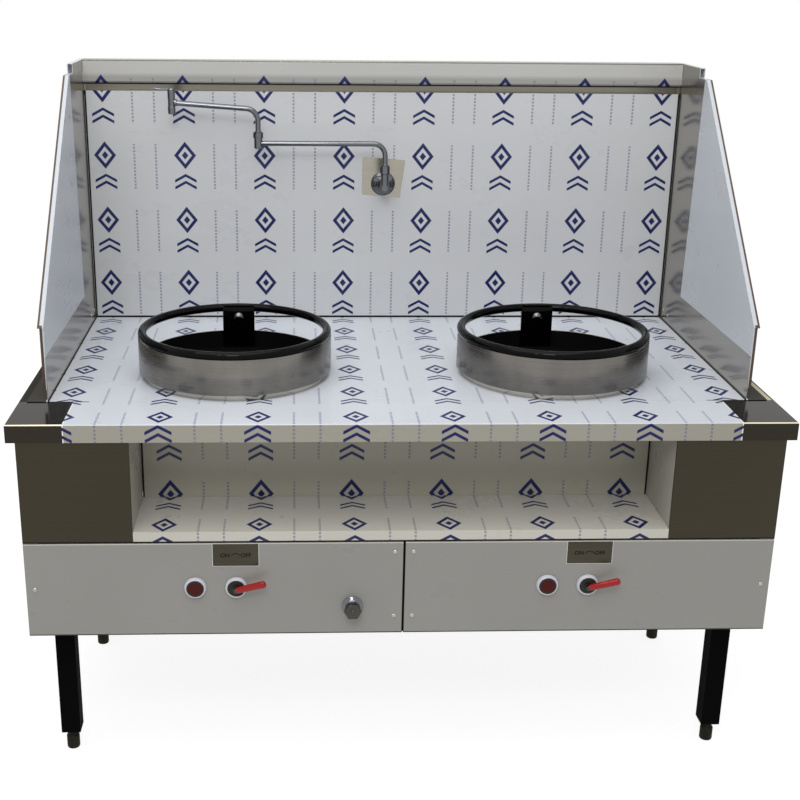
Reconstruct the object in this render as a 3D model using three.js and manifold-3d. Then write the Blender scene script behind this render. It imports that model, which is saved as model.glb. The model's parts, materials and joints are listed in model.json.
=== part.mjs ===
// Two-burner wok range in stainless sheet: a bench with a folded apron on a square-tube frame, a cabinet
// with a shelf recess and two front panels, open-backed wok rings over black fire wells, a tall splashback
// between two side wings, and a double-jointed swing tap.
//
// Millimetres. X runs to the right, Y from the front edge of the bench to the back, Z up from the floor.

import * as THREE from 'three';
import { mergeVertices } from 'three/addons/utils/BufferGeometryUtils.js';
import Module from 'manifold-3d';

// -------------------------------------------------------------------------------------------------
// Driving dimensions
// -------------------------------------------------------------------------------------------------

const sheet = 1.5; // stainless sheet
const gap = 0.3; // between pieces that touch

// Facets round a full turn
const roundSides = 36; // rings and wells
const controlSides = 14; // controls
const rodSides = 12; // burners, pins, nuts and threaded pipe
const tubeSides = 10; // tap tube
const pipeSides = 8; // bent pipe and screws

// Bench
const benchWidth = 1500;
const benchDepth = 816;
const benchHeight = 775;
const apronHeight = 36;
const edgeRadius = 3;

// Cabinet under the bench
const cabinetWidth = 1468;
const cabinetFront = 8; // set back from the front edge of the bench
const cabinetBack = 770;
const cabinetDrop = 445; // bench top to the bottom of the cabinet
const sideFlange = 30; // front flange of a side panel, which takes the panel screws
const rearFlange = 20;

// Shelf recess between the cheeks
const recessWidth = 1044;
const recessDepth = 175;
const shelfDrop = 223; // bench top to the shelf
const shelfLip = 22;
const lipReturn = 12;

// Front panels
const panelSeam = 2.4; // black gap between the panels, and between them and the shelf lip
const seamX = 4;
const panelReturn = 18;
const screwRadius = 4;
const screwHeight = 2.2;
const screwInset = 17; // screw centres in from the ends of a panel
const screwHigh = 268; // below the bench top
const screwMiddle = 344;
const screwLow = 407;

// Square-tube frame
const legSize = 40;
const legWall = 2;
const legSpan = 1410; // over the outer faces
const frontLegY = 104;
const rearLegY = 550;
const legEnd = 45;
const legPlate = 4;
const railSize = 30;
const railWall = 2;
const railInset = 12; // front and rear rails under the bench
const postWidth = 40;
const postDepth = 20;

// Levelling feet
const footRadius = 13.5;
const footNeck = 9;
const stemRadius = 6;
const stemLength = 50;
const stemClearance = 0.4;

// Wok rings and fire wells
const ringSpacing = 668;
const ringY = 330;
const rimRadius = 192; // centre line of the round bar
const barRadius = 9;
const rimHeight = 100; // top of the bar over the bench
const strapWidth = 70; // rear strap that carries the rim
const strapThickness = 6;
const boltHeight = 72;
const wellRadius = 142;
const wellWall = 3;
const wellDepth = 200;
const wellUpstand = 38.7;
const linerRadius = 191;
const collarWall = 2;
const shroudWall = 2;
const shroudLift = 12; // bottom of the shroud over the bench
const tabAngles = [-160, -110, -70, -20]; // spacer tabs between shroud and collar
const tabWidth = 16;
const burnerHole = 70;
const burnerRadius = 64;
const burnerHeight = 45;
const burnerFoot = 6; // thickness of the rim that it stands on
const footRimRadius = 84;
const mixerRadius = 19;
const mixerLength = 60;
const injectorGap = 4;
const jetRadius = 4;
const jetHeight = 12;
const outerJets = 8;
const innerJets = 5;

// Splashback and header
const splashY = 776;
const splashHeight = 607;
const grooveBottom = 538;
const grooveTop = 553;
const grooveDepth = 18;
const headerProud = 6;
const headerDrop = 30;
const stiffenerWidth = 60;
const stiffenerDepth = 25;

// Side wings
const wingSpan = 1384; // between the inner faces
const wingFront = 137;
const wingLow = 151; // height of the front edge over the bench
const slopeTopY = 585;
const slopeTopHeight = 586;
const wingStepY = 640;
const slopeHem = 12;
const hemTip = 3; // the sloped hem runs past the front edge
const frontHem = 8;
const hemStart = 24;
const wingFlange = 41;
const flangeFront = 132;

// Controls on the front panels
const valveX = [-325, 369];
const buttonSpacing = 80;
const controlDrop = 341.5; // below the bench top
const plateWidth = 88;
const plateHeight = 46;
const plateThickness = 0.8;
const plateDrop = 272;
const bezelRadius = 22;
const bezelMouth = 19;
const bezelBore = 17.3;
const bezelDepth = 8;
const faceRadius = 16.8;
const buttonTravel = 5;
const spindleRadius = 5;
const leverLength = 63;
const leverRise = 18; // degrees above level
const leverLean = 9; // degrees out from the panel
const leverRodRadius = 2.3;
const sleeveStart = 6.5; // from the spindle to the grip
const controlHole = 15;
const waterHole = 12.6;
const waterX = -96.5;
const waterDrop = 385.5;
const waterFlange = 21.5;
const hexAcross = 30;
const capReach = 27;

// Gas and water pipes
const manifoldRadius = 13.5;
const manifoldY = 85;
const manifoldDrop = 390; // below the bench top
const inletX = 620;
const inletReach = 30; // gas inlet behind the rear panel
const burnerPipeRadius = 6;
const pipeOffset = 90; // where a burner pipe turns towards its burner
const pipeBend = 22;
const waterPipeRadius = 7.5;
const waterPipeDrop = 305; // its run to the back, below the bench top

// Swing tap
const tapHeight = 327.5; // over the bench
const tapReach = 60;
const tapFlange = 28.5;
const tapTailRadius = 10;
const tapTube = 6;
const nutRadius = 11.5;
const nutTop = 50; // over the tap's centre line
const swivelBodyRadius = 9.5;
const innerArm = 292;
const innerArmHeight = 427.6;
const outerArm = 195;
const outerArmHeight = 503.6;
const outerArmTilt = 4.1; // degrees
const tapBend = 28;
const swivelClearance = 0.4;
const nozzleRadius = 8.5;
const nozzleBottom = 492.4;
const nozzleTop = 544;
const tapLeverLength = 41;

// -------------------------------------------------------------------------------------------------
// Solid modelling helpers
// -------------------------------------------------------------------------------------------------

const wasm = await Module();
wasm.setup();

function signedVolume(geometry) {
  const position = geometry.getAttribute('position');
  const index = geometry.index.array;
  const [a, b, c] = [new THREE.Vector3(), new THREE.Vector3(), new THREE.Vector3()];
  let volume = 0;
  for (let i = 0; i < index.length; i += 3) {
    a.fromBufferAttribute(position, index[i]);
    b.fromBufferAttribute(position, index[i + 1]);
    c.fromBufferAttribute(position, index[i + 2]);
    volume += a.dot(b.cross(c)) / 6;
  }
  return volume;
}

/** Merges the corners of a closed geometry, drops its empty triangles and turns its faces outwards. */
function closed(geometry) {
  const bare = new THREE.BufferGeometry();
  bare.setAttribute('position', geometry.getAttribute('position').clone());
  if (geometry.index) bare.setIndex(geometry.index.clone());
  const merged = mergeVertices(bare, 1e-4);
  const all = merged.index.array;
  const kept = [];
  for (let i = 0; i < all.length; i += 3) {
    const [a, b, c] = [all[i], all[i + 1], all[i + 2]];
    if (a !== b && b !== c && c !== a) kept.push(a, b, c);
  }
  merged.setIndex(kept);
  if (signedVolume(merged) < 0) merged.setIndex(kept.reverse());
  return merged;
}

function toSolid(geometry) {
  const body = closed(geometry);
  return new wasm.Manifold(new wasm.Mesh({
    numProp: 3,
    vertProperties: new Float32Array(body.getAttribute('position').array),
    triVerts: new Uint32Array(body.index.array),
  }));
}

function toGeometry(solid) {
  const mesh = solid.getMesh();
  const geometry = new THREE.BufferGeometry();
  geometry.setAttribute('position', new THREE.BufferAttribute(new Float32Array(mesh.vertProperties), 3));
  geometry.setIndex(new THREE.BufferAttribute(new Uint32Array(mesh.triVerts), 1));
  return geometry;
}

function join(first, ...others) {
  return toGeometry(others.reduce((solid, other) => solid.add(toSolid(other)), toSolid(first)));
}

function cut(body, ...tools) {
  return toGeometry(tools.reduce((solid, tool) => solid.subtract(toSolid(tool)), toSolid(body)));
}

function common(first, second) {
  return toGeometry(toSolid(first).intersect(toSolid(second)));
}

function block([x0, x1], [y0, y1], [z0, z1]) {
  return new THREE.BoxGeometry(Math.abs(x1 - x0), Math.abs(y1 - y0), Math.abs(z1 - z0))
    .translate((x0 + x1) / 2, (y0 + y1) / 2, (z0 + z1) / 2);
}

/** A round rod between two points. */
function rod(start, end, radius, facets = rodSides) {
  const [a, b] = [new THREE.Vector3(...start), new THREE.Vector3(...end)];
  const along = b.clone().sub(a);
  const turn = new THREE.Quaternion().setFromUnitVectors(
    new THREE.Vector3(0, 1, 0), along.clone().normalize());
  const middle = a.add(b).multiplyScalar(0.5);
  return new THREE.CylinderGeometry(radius, radius, along.length(), facets)
    .applyQuaternion(turn)
    .translate(middle.x, middle.y, middle.z);
}

/** A turned body about the Z axis: the profile is a closed list of [radius, height]. */
function turned(profile, facets) {
  const points = profile.map(([radius, height]) => new THREE.Vector2(radius, height));
  points.push(points[0].clone());
  return closed(new THREE.LatheGeometry(points, facets).rotateX(Math.PI / 2));
}

/** A turned body about a line along Y: heights of the profile run towards the front. */
function turnedForward(profile, facets) {
  return turned(profile, facets).rotateX(Math.PI / 2);
}

function shapeOf(points) {
  return new THREE.Shape(points.map(([u, v]) => new THREE.Vector2(u, v)));
}

/** Extrudes a (y, z) shape along X from x0 to x1. */
function alongX(shape, x0, x1, curveSegments = 4) {
  const turn = new THREE.Matrix4().makeBasis(
    new THREE.Vector3(0, 1, 0), new THREE.Vector3(0, 0, 1), new THREE.Vector3(1, 0, 0));
  return new THREE.ExtrudeGeometry(shape, { depth: x1 - x0, bevelEnabled: false, curveSegments })
    .applyMatrix4(turn)
    .translate(x0, 0, 0);
}

/** Extrudes an (x, z) shape along Y from y0 to y1. */
function alongY(shape, y0, y1, curveSegments = 4) {
  return new THREE.ExtrudeGeometry(shape, { depth: y1 - y0, bevelEnabled: false, curveSegments })
    .rotateX(Math.PI / 2)
    .translate(0, y1, 0);
}

/** Extrudes an (x, y) shape along Z from z0 to z1. */
function alongZ(shape, z0, z1, curveSegments = 4) {
  return new THREE.ExtrudeGeometry(shape, { depth: z1 - z0, bevelEnabled: false, curveSegments })
    .translate(0, 0, z0);
}

/** The section of a folded sheet: an open line of outside points, thickened to its left. */
function foldedSection(points, thickness) {
  const count = points.length;
  const normals = points.slice(1).map(([u, v], i) => {
    const [du, dv] = [u - points[i][0], v - points[i][1]];
    const length = Math.hypot(du, dv);
    return [-dv / length, du / length];
  });
  const inside = points.map(([u, v], i) => {
    const before = normals[Math.max(i - 1, 0)];
    const after = normals[Math.min(i, count - 2)];
    const share = thickness / (1 + before[0] * after[0] + before[1] * after[1]);
    return [u + (before[0] + after[0]) * share, v + (before[1] + after[1]) * share];
  });
  return shapeOf([...points, ...inside.reverse()]);
}

/** Square tube with open ends along one axis ('x', 'y' or 'z'), from its lowest to its highest corner. */
function squareTube(axis, [x0, x1], [y0, y1], [z0, z1], wall) {
  const trim = (low, high, name) => (name === axis ? [low - 1, high + 1] : [low + wall, high - wall]);
  return cut(
    block([x0, x1], [y0, y1], [z0, z1]),
    block(trim(x0, x1, 'x'), trim(y0, y1, 'y'), trim(z0, z1, 'z')));
}

/** Rounds the inner corners of a path with arcs of one bend radius. */
function bentPath(corners, bend, steps = 5) {
  const points = corners.map((corner) => new THREE.Vector3(...corner));
  const path = [points[0]];
  for (let i = 1; i < points.length - 1; i += 1) {
    const into = points[i].clone().sub(points[i - 1]).normalize();
    const out = points[i + 1].clone().sub(points[i]).normalize();
    const turn = into.angleTo(out);
    const back = bend * Math.tan(turn / 2);
    const start = points[i].clone().addScaledVector(into, -back);
    const inward = out.clone().addScaledVector(into, -out.dot(into)).normalize();
    for (let k = 0; k <= steps; k += 1) {
      const angle = (turn * k) / steps;
      path.push(start.clone()
        .addScaledVector(into, bend * Math.sin(angle))
        .addScaledVector(inward, bend * (1 - Math.cos(angle))));
    }
  }
  path.push(points[points.length - 1]);
  return path;
}

/** A round bar or pipe along a path, with flat ends square to it. */
function roundBar(path, radius, facets) {
  const count = path.length;
  const tangents = path.map((_, i) => {
    const before = path[Math.max(i - 1, 0)];
    const after = path[Math.min(i + 1, count - 1)];
    return after.clone().sub(before).normalize();
  });
  tangents[0] = path[1].clone().sub(path[0]).normalize();
  tangents[count - 1] = path[count - 1].clone().sub(path[count - 2]).normalize();
  const side = new THREE.Vector3(0.31, 0.47, 0.83).cross(tangents[0]).normalize();
  const vertices = [];
  path.forEach((point, i) => {
    side.addScaledVector(tangents[i], -side.dot(tangents[i])).normalize();
    const other = tangents[i].clone().cross(side);
    for (let k = 0; k < facets; k += 1) {
      const angle = (2 * Math.PI * k) / facets;
      const corner = point.clone()
        .addScaledVector(side, radius * Math.cos(angle))
        .addScaledVector(other, radius * Math.sin(angle));
      vertices.push(corner.x, corner.y, corner.z);
    }
  });
  const index = [];
  for (let i = 0; i < count - 1; i += 1) {
    for (let k = 0; k < facets; k += 1) {
      const [a, b] = [i * facets + k, i * facets + ((k + 1) % facets)];
      index.push(a, b, b + facets, a, b + facets, a + facets);
    }
  }
  for (const [row, flip] of [[0, true], [count - 1, false]]) {
    for (let k = 1; k < facets - 1; k += 1) {
      const [a, b, c] = [row * facets, row * facets + k, row * facets + k + 1];
      index.push(...(flip ? [a, c, b] : [a, b, c]));
    }
  }
  const geometry = new THREE.BufferGeometry();
  geometry.setAttribute('position', new THREE.Float32BufferAttribute(vertices, 3));
  geometry.setIndex(index);
  return closed(geometry);
}

/** A threaded pipe run: straight pipes, with an elbow fitting at each corner. */
function pipeRun(corners, radius) {
  const fitting = radius * 1.35;
  const socket = radius * 1.6;
  const pieces = [];
  for (let i = 0; i < corners.length - 1; i += 1) pieces.push(rod(corners[i], corners[i + 1], radius));
  for (let i = 1; i < corners.length - 1; i += 1) {
    const corner = new THREE.Vector3(...corners[i]);
    pieces.push(new THREE.SphereGeometry(fitting, rodSides, rodSides / 2).translate(...corner.toArray()));
    for (const next of [corners[i - 1], corners[i + 1]]) {
      const reach = new THREE.Vector3(...next).sub(corner).setLength(socket + radius);
      pieces.push(rod(corner.toArray(), corner.clone().add(reach).toArray(), fitting));
    }
  }
  return join(...pieces);
}

const radians = THREE.MathUtils.degToRad;

// -------------------------------------------------------------------------------------------------
// Finishes
// -------------------------------------------------------------------------------------------------

function finish(color, roughness, metalness) {
  return () => new THREE.MeshStandardMaterial({ color, roughness, metalness });
}

const brushedSteel = finish(0x9a9892, 0.34, 1);
const darkSteel = finish(0x4a463c, 0.28, 1);
const blackPaint = finish(0x0b0b0b, 0.5, 0);
const glossBlack = finish(0x080808, 0.12, 0.2);
const castIron = finish(0x1b1a19, 0.8, 0.4);
const chrome = finish(0xc9ccd0, 0.08, 1);
const brass = finish(0xb08d4a, 0.35, 1);
const copper = finish(0xb26a45, 0.35, 1);
const galvanised = finish(0x8f9296, 0.5, 0.9);
const redVinyl = finish(0xa31518, 0.3, 0);
const darkRed = finish(0x3a0d08, 0.25, 0);
const satinWhite = finish(0xdedede, 0.3, 0.2);

/** Adds one named sub-part to a group. */
function add(parent, name, geometry, material) {
  const shaded = closed(geometry).toNonIndexed();
  shaded.computeVertexNormals();
  const mesh = new THREE.Mesh(shaded, material());
  mesh.name = name;
  parent.add(mesh);
  return mesh;
}

function groupAt(parent, x = 0, y = 0, z = 0) {
  const group = new THREE.Group();
  group.position.set(x, y, z);
  parent.add(group);
  return group;
}

const range = new THREE.Group();
const sides = [['left', -1], ['right', 1]];

/** A span across X on one side, from two distances from the middle. */
const across = (side, near, far) => [side * near, side * far].sort((a, b) => a - b);

// Heights and places that several pieces share
const benchUnder = benchHeight - sheet;
const bodyTop = benchUnder - gap;
const railUnder = bodyTop - railSize;
const halfCabinet = cabinetWidth / 2;
const cabinetBottom = benchHeight - cabinetDrop;
const shelfHeight = benchHeight - shelfDrop;
const manifoldHeight = benchHeight - manifoldDrop;
const waterPipeHeight = benchHeight - waterPipeDrop;
const halfRecess = recessWidth / 2;
const recessBackY = cabinetFront + recessDepth;
const lipBottom = shelfHeight - shelfLip;
const panelTop = lipBottom - panelSeam;
const behindFace = cabinetFront + sheet + gap;
const legCentreX = legSpan / 2 - legSize / 2;
const halfRail = railSize / 2;
const seatZ = benchHeight + gap;
const cavityY = (splashY + sheet + benchDepth) / 2;
const halfWing = wingSpan / 2;

// -------------------------------------------------------------------------------------------------
// Frame: legs, feet and rails
// -------------------------------------------------------------------------------------------------

const frame = groupAt(range);

function leg() {
  const half = legSize / 2;
  const tube = squareTube('z', [-half, half], [-half, half], [legEnd, railUnder - gap], legWall);
  const plate = block([-half + legWall / 2, half - legWall / 2], [-half + legWall / 2, half - legWall / 2],
    [legEnd, legEnd + legPlate]);
  const bore = rod([0, 0, legEnd - 1], [0, 0, legEnd + legPlate + 1], stemRadius + stemClearance);
  return cut(join(tube, plate), bore);
}

/** A screw-in foot: a rounded base, a waist and a threaded stem that runs up into the leg. */
function foot() {
  const shoulder = legEnd - gap;
  return turned([
    [0, 0], [footRadius - 2, 0], [footRadius, 2.5], [footRadius, shoulder - 16], [footNeck, shoulder - 12],
    [footNeck, shoulder], [stemRadius, shoulder], [stemRadius, shoulder + stemLength - 2],
    [stemRadius - 1.5, shoulder + stemLength], [0, shoulder + stemLength],
  ], rodSides);
}

for (const [sideName, side] of sides) {
  for (const [rowName, legY] of [['front', frontLegY], ['rear', rearLegY]]) {
    const corner = groupAt(frame, side * legCentreX, legY + legSize / 2, 0);
    add(corner, `leg_${rowName}_${sideName}`, leg(), blackPaint);
    add(corner, `foot_${rowName}_${sideName}`, foot(), galvanised);
  }
}

/** Square tubes welded into one frame, with their bores joined and open at the free ends. */
function weldedTubes(tubes, wall) {
  const span = (low, high, along) => (along ? [low - 1, high + 1] : [low + wall, high - wall]);
  const outsides = tubes.map(({ x, y, z }) => block(x, y, z));
  const bores = tubes.map(({ axis, x, y, z, open = true }) => block(
    span(...x, axis === 'x' && open), span(...y, axis === 'y' && open), span(...z, axis === 'z' && open)));
  return cut(join(...outsides), ...bores);
}

/** Rails under the bench: two side rails on the legs, joined by front, rear and middle rails. */
function topFrame() {
  const z = [railUnder, bodyTop];
  const y = [railInset, cabinetBack - sheet - gap - railInset];
  const middle = [-legCentreX, legCentreX];
  return weldedTubes([
    ...sides.map(([, side]) => (
      { axis: 'y', x: across(side, legCentreX - halfRail, legCentreX + halfRail), y, z })),
    { axis: 'x', x: middle, y: [y[0], y[0] + railSize], z },
    { axis: 'x', x: middle, y: [y[1] - railSize, y[1]], z },
    { axis: 'y', x: [-halfRail, halfRail], y: [recessBackY + sheet + gap, y[1] - railWall], z },
  ], railWall);
}

/** Rails round the foot of the cabinet, and the middle post that the front panels screw to. */
function lowerFrame() {
  const z = [cabinetBottom + sheet + gap, cabinetBottom + sheet + gap + railSize];
  const post = [behindFace, behindFace + postDepth];
  const y = [post[1] - railWall, cabinetBack - sheet - gap];
  const legInside = legCentreX - legSize / 2 - gap;
  const middle = [-legInside + railWall, legInside - railWall];
  const middleY = (frontLegY + rearLegY + legSize) / 2;
  return weldedTubes([
    ...sides.map(([, side]) => ({ axis: 'y', x: across(side, legInside - railSize, legInside), y, z })),
    { axis: 'x', x: middle, y: [y[0], y[0] + railSize], z },
    { axis: 'x', x: middle, y: [middleY - halfRail, middleY + halfRail], z },
    { axis: 'x', x: middle, y: [y[1] - railSize, y[1]], z },
    {
      axis: 'z',
      x: [seamX - postWidth / 2, seamX + postWidth / 2],
      y: post,
      z: [cabinetBottom + sheet + gap, panelTop - sheet - gap],
    },
  ], railWall);
}

add(frame, 'top_frame', topFrame(), blackPaint);
add(frame, 'lower_frame', lowerFrame(), blackPaint);

// -------------------------------------------------------------------------------------------------
// Bench top
// -------------------------------------------------------------------------------------------------

const bench = groupAt(range);
const wellHole = wellRadius + 1;
const waterPipeY = cavityY;

/** A tray turned over, with its top edges rounded, inset all round by one distance. */
function tray(inset, bottom) {
  const radius = edgeRadius - inset;
  const section = (low, high) => {
    const top = benchHeight - inset;
    const shape = new THREE.Shape();
    shape.moveTo(low + inset, bottom);
    shape.lineTo(high - inset, bottom);
    shape.absarc(high - inset - radius, top - radius, radius, 0, Math.PI / 2, false);
    shape.absarc(low + inset + radius, top - radius, radius, Math.PI / 2, Math.PI, false);
    shape.closePath();
    return shape;
  };
  return common(
    alongX(section(0, benchDepth), -benchWidth / 2, benchWidth / 2, 3),
    alongY(section(-benchWidth / 2, benchWidth / 2), 0, benchDepth, 3));
}

function benchTop() {
  const inside = common(
    tray(sheet, benchHeight - apronHeight - 1),
    block([-benchWidth / 2 + sheet, benchWidth / 2 - sheet], [sheet, benchDepth - sheet],
      [benchHeight - apronHeight - 1, benchUnder]));
  const holes = [-ringSpacing / 2, ringSpacing / 2].map((x) => rod(
    [x, ringY, benchUnder - 5], [x, ringY, benchHeight + 5], wellHole, roundSides));
  const pipeHole = rod([waterX, waterPipeY, benchUnder - 5], [waterX, waterPipeY, benchHeight + 5],
    waterPipeRadius + 2);
  return cut(tray(0, benchHeight - apronHeight), inside, ...holes, pipeHole);
}

add(bench, 'bench_top', benchTop(), brushedSteel);

// -------------------------------------------------------------------------------------------------
// Cabinet: sides, rear, cheeks, recess and front panels
// -------------------------------------------------------------------------------------------------

const cabinet = groupAt(range);

/** A side panel with a front flange behind the face of the cabinet, and a rear flange. */
function sidePanel(side) {
  const rearY = cabinetBack - sheet - gap;
  const outline = [
    [halfCabinet - sideFlange, behindFace], [halfCabinet, behindFace],
    [halfCabinet, rearY], [halfCabinet - rearFlange, rearY],
  ];
  const section = foldedSection(outline, sheet);
  const panel = alongZ(section, cabinetBottom, bodyTop);
  return side > 0 ? panel : mirrorX(panel);
}

function mirrorX(geometry) {
  return closed(geometry.clone().scale(-1, 1, 1));
}

/** A cheek: the bare face beside the recess, folded back as the side wall of the recess. */
function cheek(side) {
  const outline = [
    [halfCabinet, cabinetFront], [halfRecess, cabinetFront], [halfRecess, recessBackY + sheet + gap],
  ];
  const folded = alongZ(foldedSection(outline, -sheet), lipBottom, bodyTop);
  const railNotch = block([halfRecess - 1, halfRecess + sheet + 1],
    [railInset - gap, railInset + railSize + gap], [railUnder - gap, bodyTop + 1]);
  const panel = cut(folded, railNotch);
  return side > 0 ? panel : mirrorX(panel);
}

for (const [sideName, side] of sides) {
  add(cabinet, `side_panel_${sideName}`, sidePanel(side), darkSteel);
  add(cabinet, `cheek_${sideName}`, cheek(side), darkSteel);
}

/** The shelf: floor of the recess, with its front edge folded down and back. */
function shelf() {
  const outline = [
    [recessBackY - gap, shelfHeight], [cabinetFront, shelfHeight],
    [cabinetFront, lipBottom], [cabinetFront + lipReturn, lipBottom],
  ];
  return alongX(foldedSection(outline, sheet), -halfRecess + gap, halfRecess - gap);
}

/** The back wall of the recess, with a foot folded back under the shelf's edge. */
function recessBack() {
  const outline = [[recessBackY + lipReturn, lipBottom], [recessBackY, lipBottom], [recessBackY, bodyTop]];
  return alongX(foldedSection(outline, -sheet), -halfRecess + gap, halfRecess - gap);
}

add(cabinet, 'shelf', shelf(), brushedSteel);
add(cabinet, 'recess_back', recessBack(), brushedSteel);

function rearPanel() {
  const plate = block(
    [-halfCabinet, halfCabinet], [cabinetBack - sheet, cabinetBack], [cabinetBottom, bodyTop]);
  const through = (x, z, radius) => rod([x, cabinetBack - 5, z], [x, cabinetBack + 5, z], radius);
  return cut(plate,
    through(inletX, manifoldHeight, manifoldRadius + 2),
    through(waterX, waterPipeHeight, waterPipeRadius + 2));
}

add(cabinet, 'rear_panel', rearPanel(), galvanised);

const controlZ = benchHeight - controlDrop;
const waterZ = benchHeight - waterDrop;
const panelEnds = {
  left: [-halfCabinet, seamX - panelSeam / 2],
  right: [seamX + panelSeam / 2, halfCabinet],
};

/** Screw centres of both front panels: one in the middle of each outer end, two beside the seam. */
const screws = [
  [-halfCabinet + screwInset, screwMiddle], [panelEnds.left[1] - screwInset, screwHigh],
  [panelEnds.left[1] - screwInset, screwLow], [panelEnds.right[0] + screwInset, screwHigh],
  [panelEnds.right[0] + screwInset, screwLow], [halfCabinet - screwInset, screwMiddle],
].map(([x, drop]) => [x, benchHeight - drop]);

function screwHead(x, z) {
  return turnedForward([
    [0, -sheet / 2], [screwRadius, -sheet / 2], [screwRadius, 0.8], [screwRadius * 0.6, screwHeight],
    [0, screwHeight],
  ], pipeSides).translate(x, cabinetFront, z);
}

/** A front panel: a flat face with returns along its top and bottom, its screws and its control holes. */
function frontPanel([x0, x1], controls) {
  const reach = halfCabinet - sideFlange - gap;
  const returns = [Math.max(x0, -reach), Math.min(x1, reach)];
  const depth = [cabinetFront, cabinetFront + panelReturn];
  const face = block([x0, x1], [cabinetFront, cabinetFront + sheet], [cabinetBottom, panelTop]);
  const folded = join(face,
    block(returns, depth, [cabinetBottom, cabinetBottom + sheet]),
    block(returns, depth, [panelTop - sheet, panelTop]),
    ...screws.filter(([x]) => x > x0 && x < x1).map(([x, z]) => screwHead(x, z)));
  return cut(folded, ...controls.map(([x, z, radius]) => (
    rod([x, cabinetFront - 5, z], [x, cabinetFront + 5, z], radius, controlSides))));
}

const controlPair = (x) => [[x, controlZ, controlHole], [x - buttonSpacing, controlZ, controlHole]];
add(cabinet, 'front_panel_left',
  frontPanel(panelEnds.left, [...controlPair(valveX[0]), [waterX, waterZ, waterHole]]), brushedSteel);
add(cabinet, 'front_panel_right', frontPanel(panelEnds.right, controlPair(valveX[1])), brushedSteel);

// -------------------------------------------------------------------------------------------------
// Wok rings, fire wells and burners
// -------------------------------------------------------------------------------------------------

const collarRadius = linerRadius + gap + collarWall;
const shroudRadius = rimRadius + barRadius;
const barHeight = rimHeight - barRadius;

/** Black fire well: an upstand inside the collar, a flange on the bench, a barrel and a bottom ring. */
function fireWell() {
  const floorTop = gap + wellWall;
  return turned([
    [linerRadius, gap], [linerRadius, wellUpstand], [linerRadius - wellWall, wellUpstand],
    [linerRadius - wellWall, floorTop], [wellRadius - wellWall, floorTop],
    [wellRadius - wellWall, -wellDepth + wellWall], [burnerHole, -wellDepth + wellWall],
    [burnerHole, -wellDepth], [wellRadius, -wellDepth], [wellRadius, gap],
  ], roundSides);
}

function wokCollar() {
  const inner = linerRadius + gap;
  return turned([
    [inner, gap], [collarRadius, gap], [collarRadius, wellUpstand], [inner, wellUpstand],
  ], roundSides);
}

/** The front half band of brushed steel under the rim, with tabs that space it from the collar. */
function wokShroud() {
  const inner = shroudRadius - shroudWall;
  const top = barHeight - Math.sqrt(barRadius ** 2 - (inner - rimRadius) ** 2) - gap;
  const band = new THREE.Shape();
  band.absarc(0, 0, shroudRadius, Math.PI, 2 * Math.PI, false);
  band.absarc(0, 0, inner, 2 * Math.PI, Math.PI, true);
  band.closePath();
  const tabs = tabAngles.map((degrees) => block(
    [collarRadius + gap, inner + shroudWall / 4], [-tabWidth / 2, tabWidth / 2],
    [shroudLift + 4, wellUpstand - 6],
  ).rotateZ(radians(degrees)));
  return join(alongZ(band, shroudLift, top, roundSides / 2), ...tabs);
}

/** The rim: a round bar ring, welded to the flat rear strap and its round-headed bolt. */
function wokRim() {
  const wellInside = (linerRadius - wellWall) * Math.cos(Math.PI / roundSides);
  const strapBack = Math.sqrt(wellInside ** 2 - (strapWidth / 2) ** 2) - gap;
  const strapFront = strapBack - strapThickness;
  const strap = block([-strapWidth / 2, strapWidth / 2], [strapFront, strapBack],
    [2 * gap + wellWall, barHeight + 4]);
  const ring = new THREE.TorusGeometry(rimRadius, barRadius, 8, roundSides).translate(0, 0, barHeight);
  const bolt = turnedForward([
    [0, -strapThickness / 2], [11, -strapThickness / 2], [11, 3], [7, 6.5], [0, 8],
  ], 10).translate(0, strapFront, boltHeight);
  return join(ring, strap, bolt);
}

/** Cast-iron burner: a bowl on the well's bottom ring, a mixing tube under it and two rings of jets. */
function burner() {
  const seat = -wellDepth + wellWall + gap;
  const brim = burnerRadius + 6;
  const waist = burnerRadius - 2;
  const throat = mixerRadius - 5;
  const bowl = turned([
    [0, burnerHeight], [burnerRadius, burnerHeight], [brim, burnerHeight - 5], [waist, 14],
    [waist, burnerFoot], [footRimRadius, burnerFoot], [footRimRadius, 0], [burnerRadius - 4, 0],
    [mixerRadius + 7, -10],
    [mixerRadius, -18], [mixerRadius, 12 - mixerLength], [mixerRadius + 6, -mixerLength],
    [mixerRadius + 2, -mixerLength], [throat, 12 - mixerLength], [throat, -14], [0, -14],
  ], rodSides);
  const jets = [];
  for (const [count, radius] of [[outerJets, burnerRadius - 12], [innerJets, burnerRadius / 2 - 5]]) {
    for (let i = 0; i < count; i += 1) {
      const angle = (2 * Math.PI * i) / count;
      const [x, y] = [radius * Math.cos(angle), radius * Math.sin(angle)];
      jets.push(rod([x, y, burnerHeight - 2], [x, y, burnerHeight + jetHeight], jetRadius, 6));
    }
  }
  return join(bowl, ...jets).translate(0, 0, seat);
}

for (const [sideName, side] of sides) {
  const ring = groupAt(range, side * ringSpacing / 2, ringY, benchHeight);
  add(ring, `fire_well_${sideName}`, fireWell(), castIron);
  add(ring, `wok_collar_${sideName}`, wokCollar(), brushedSteel);
  add(ring, `wok_shroud_${sideName}`, wokShroud(), brushedSteel);
  add(ring, `wok_rim_${sideName}`, wokRim(), glossBlack);
  add(ring, `burner_${sideName}`, burner(), castIron);
}

// -------------------------------------------------------------------------------------------------
// Splashback and wings
// -------------------------------------------------------------------------------------------------

const back = groupAt(range, 0, 0, benchHeight);
const splashHalf = halfWing - gap;

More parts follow.
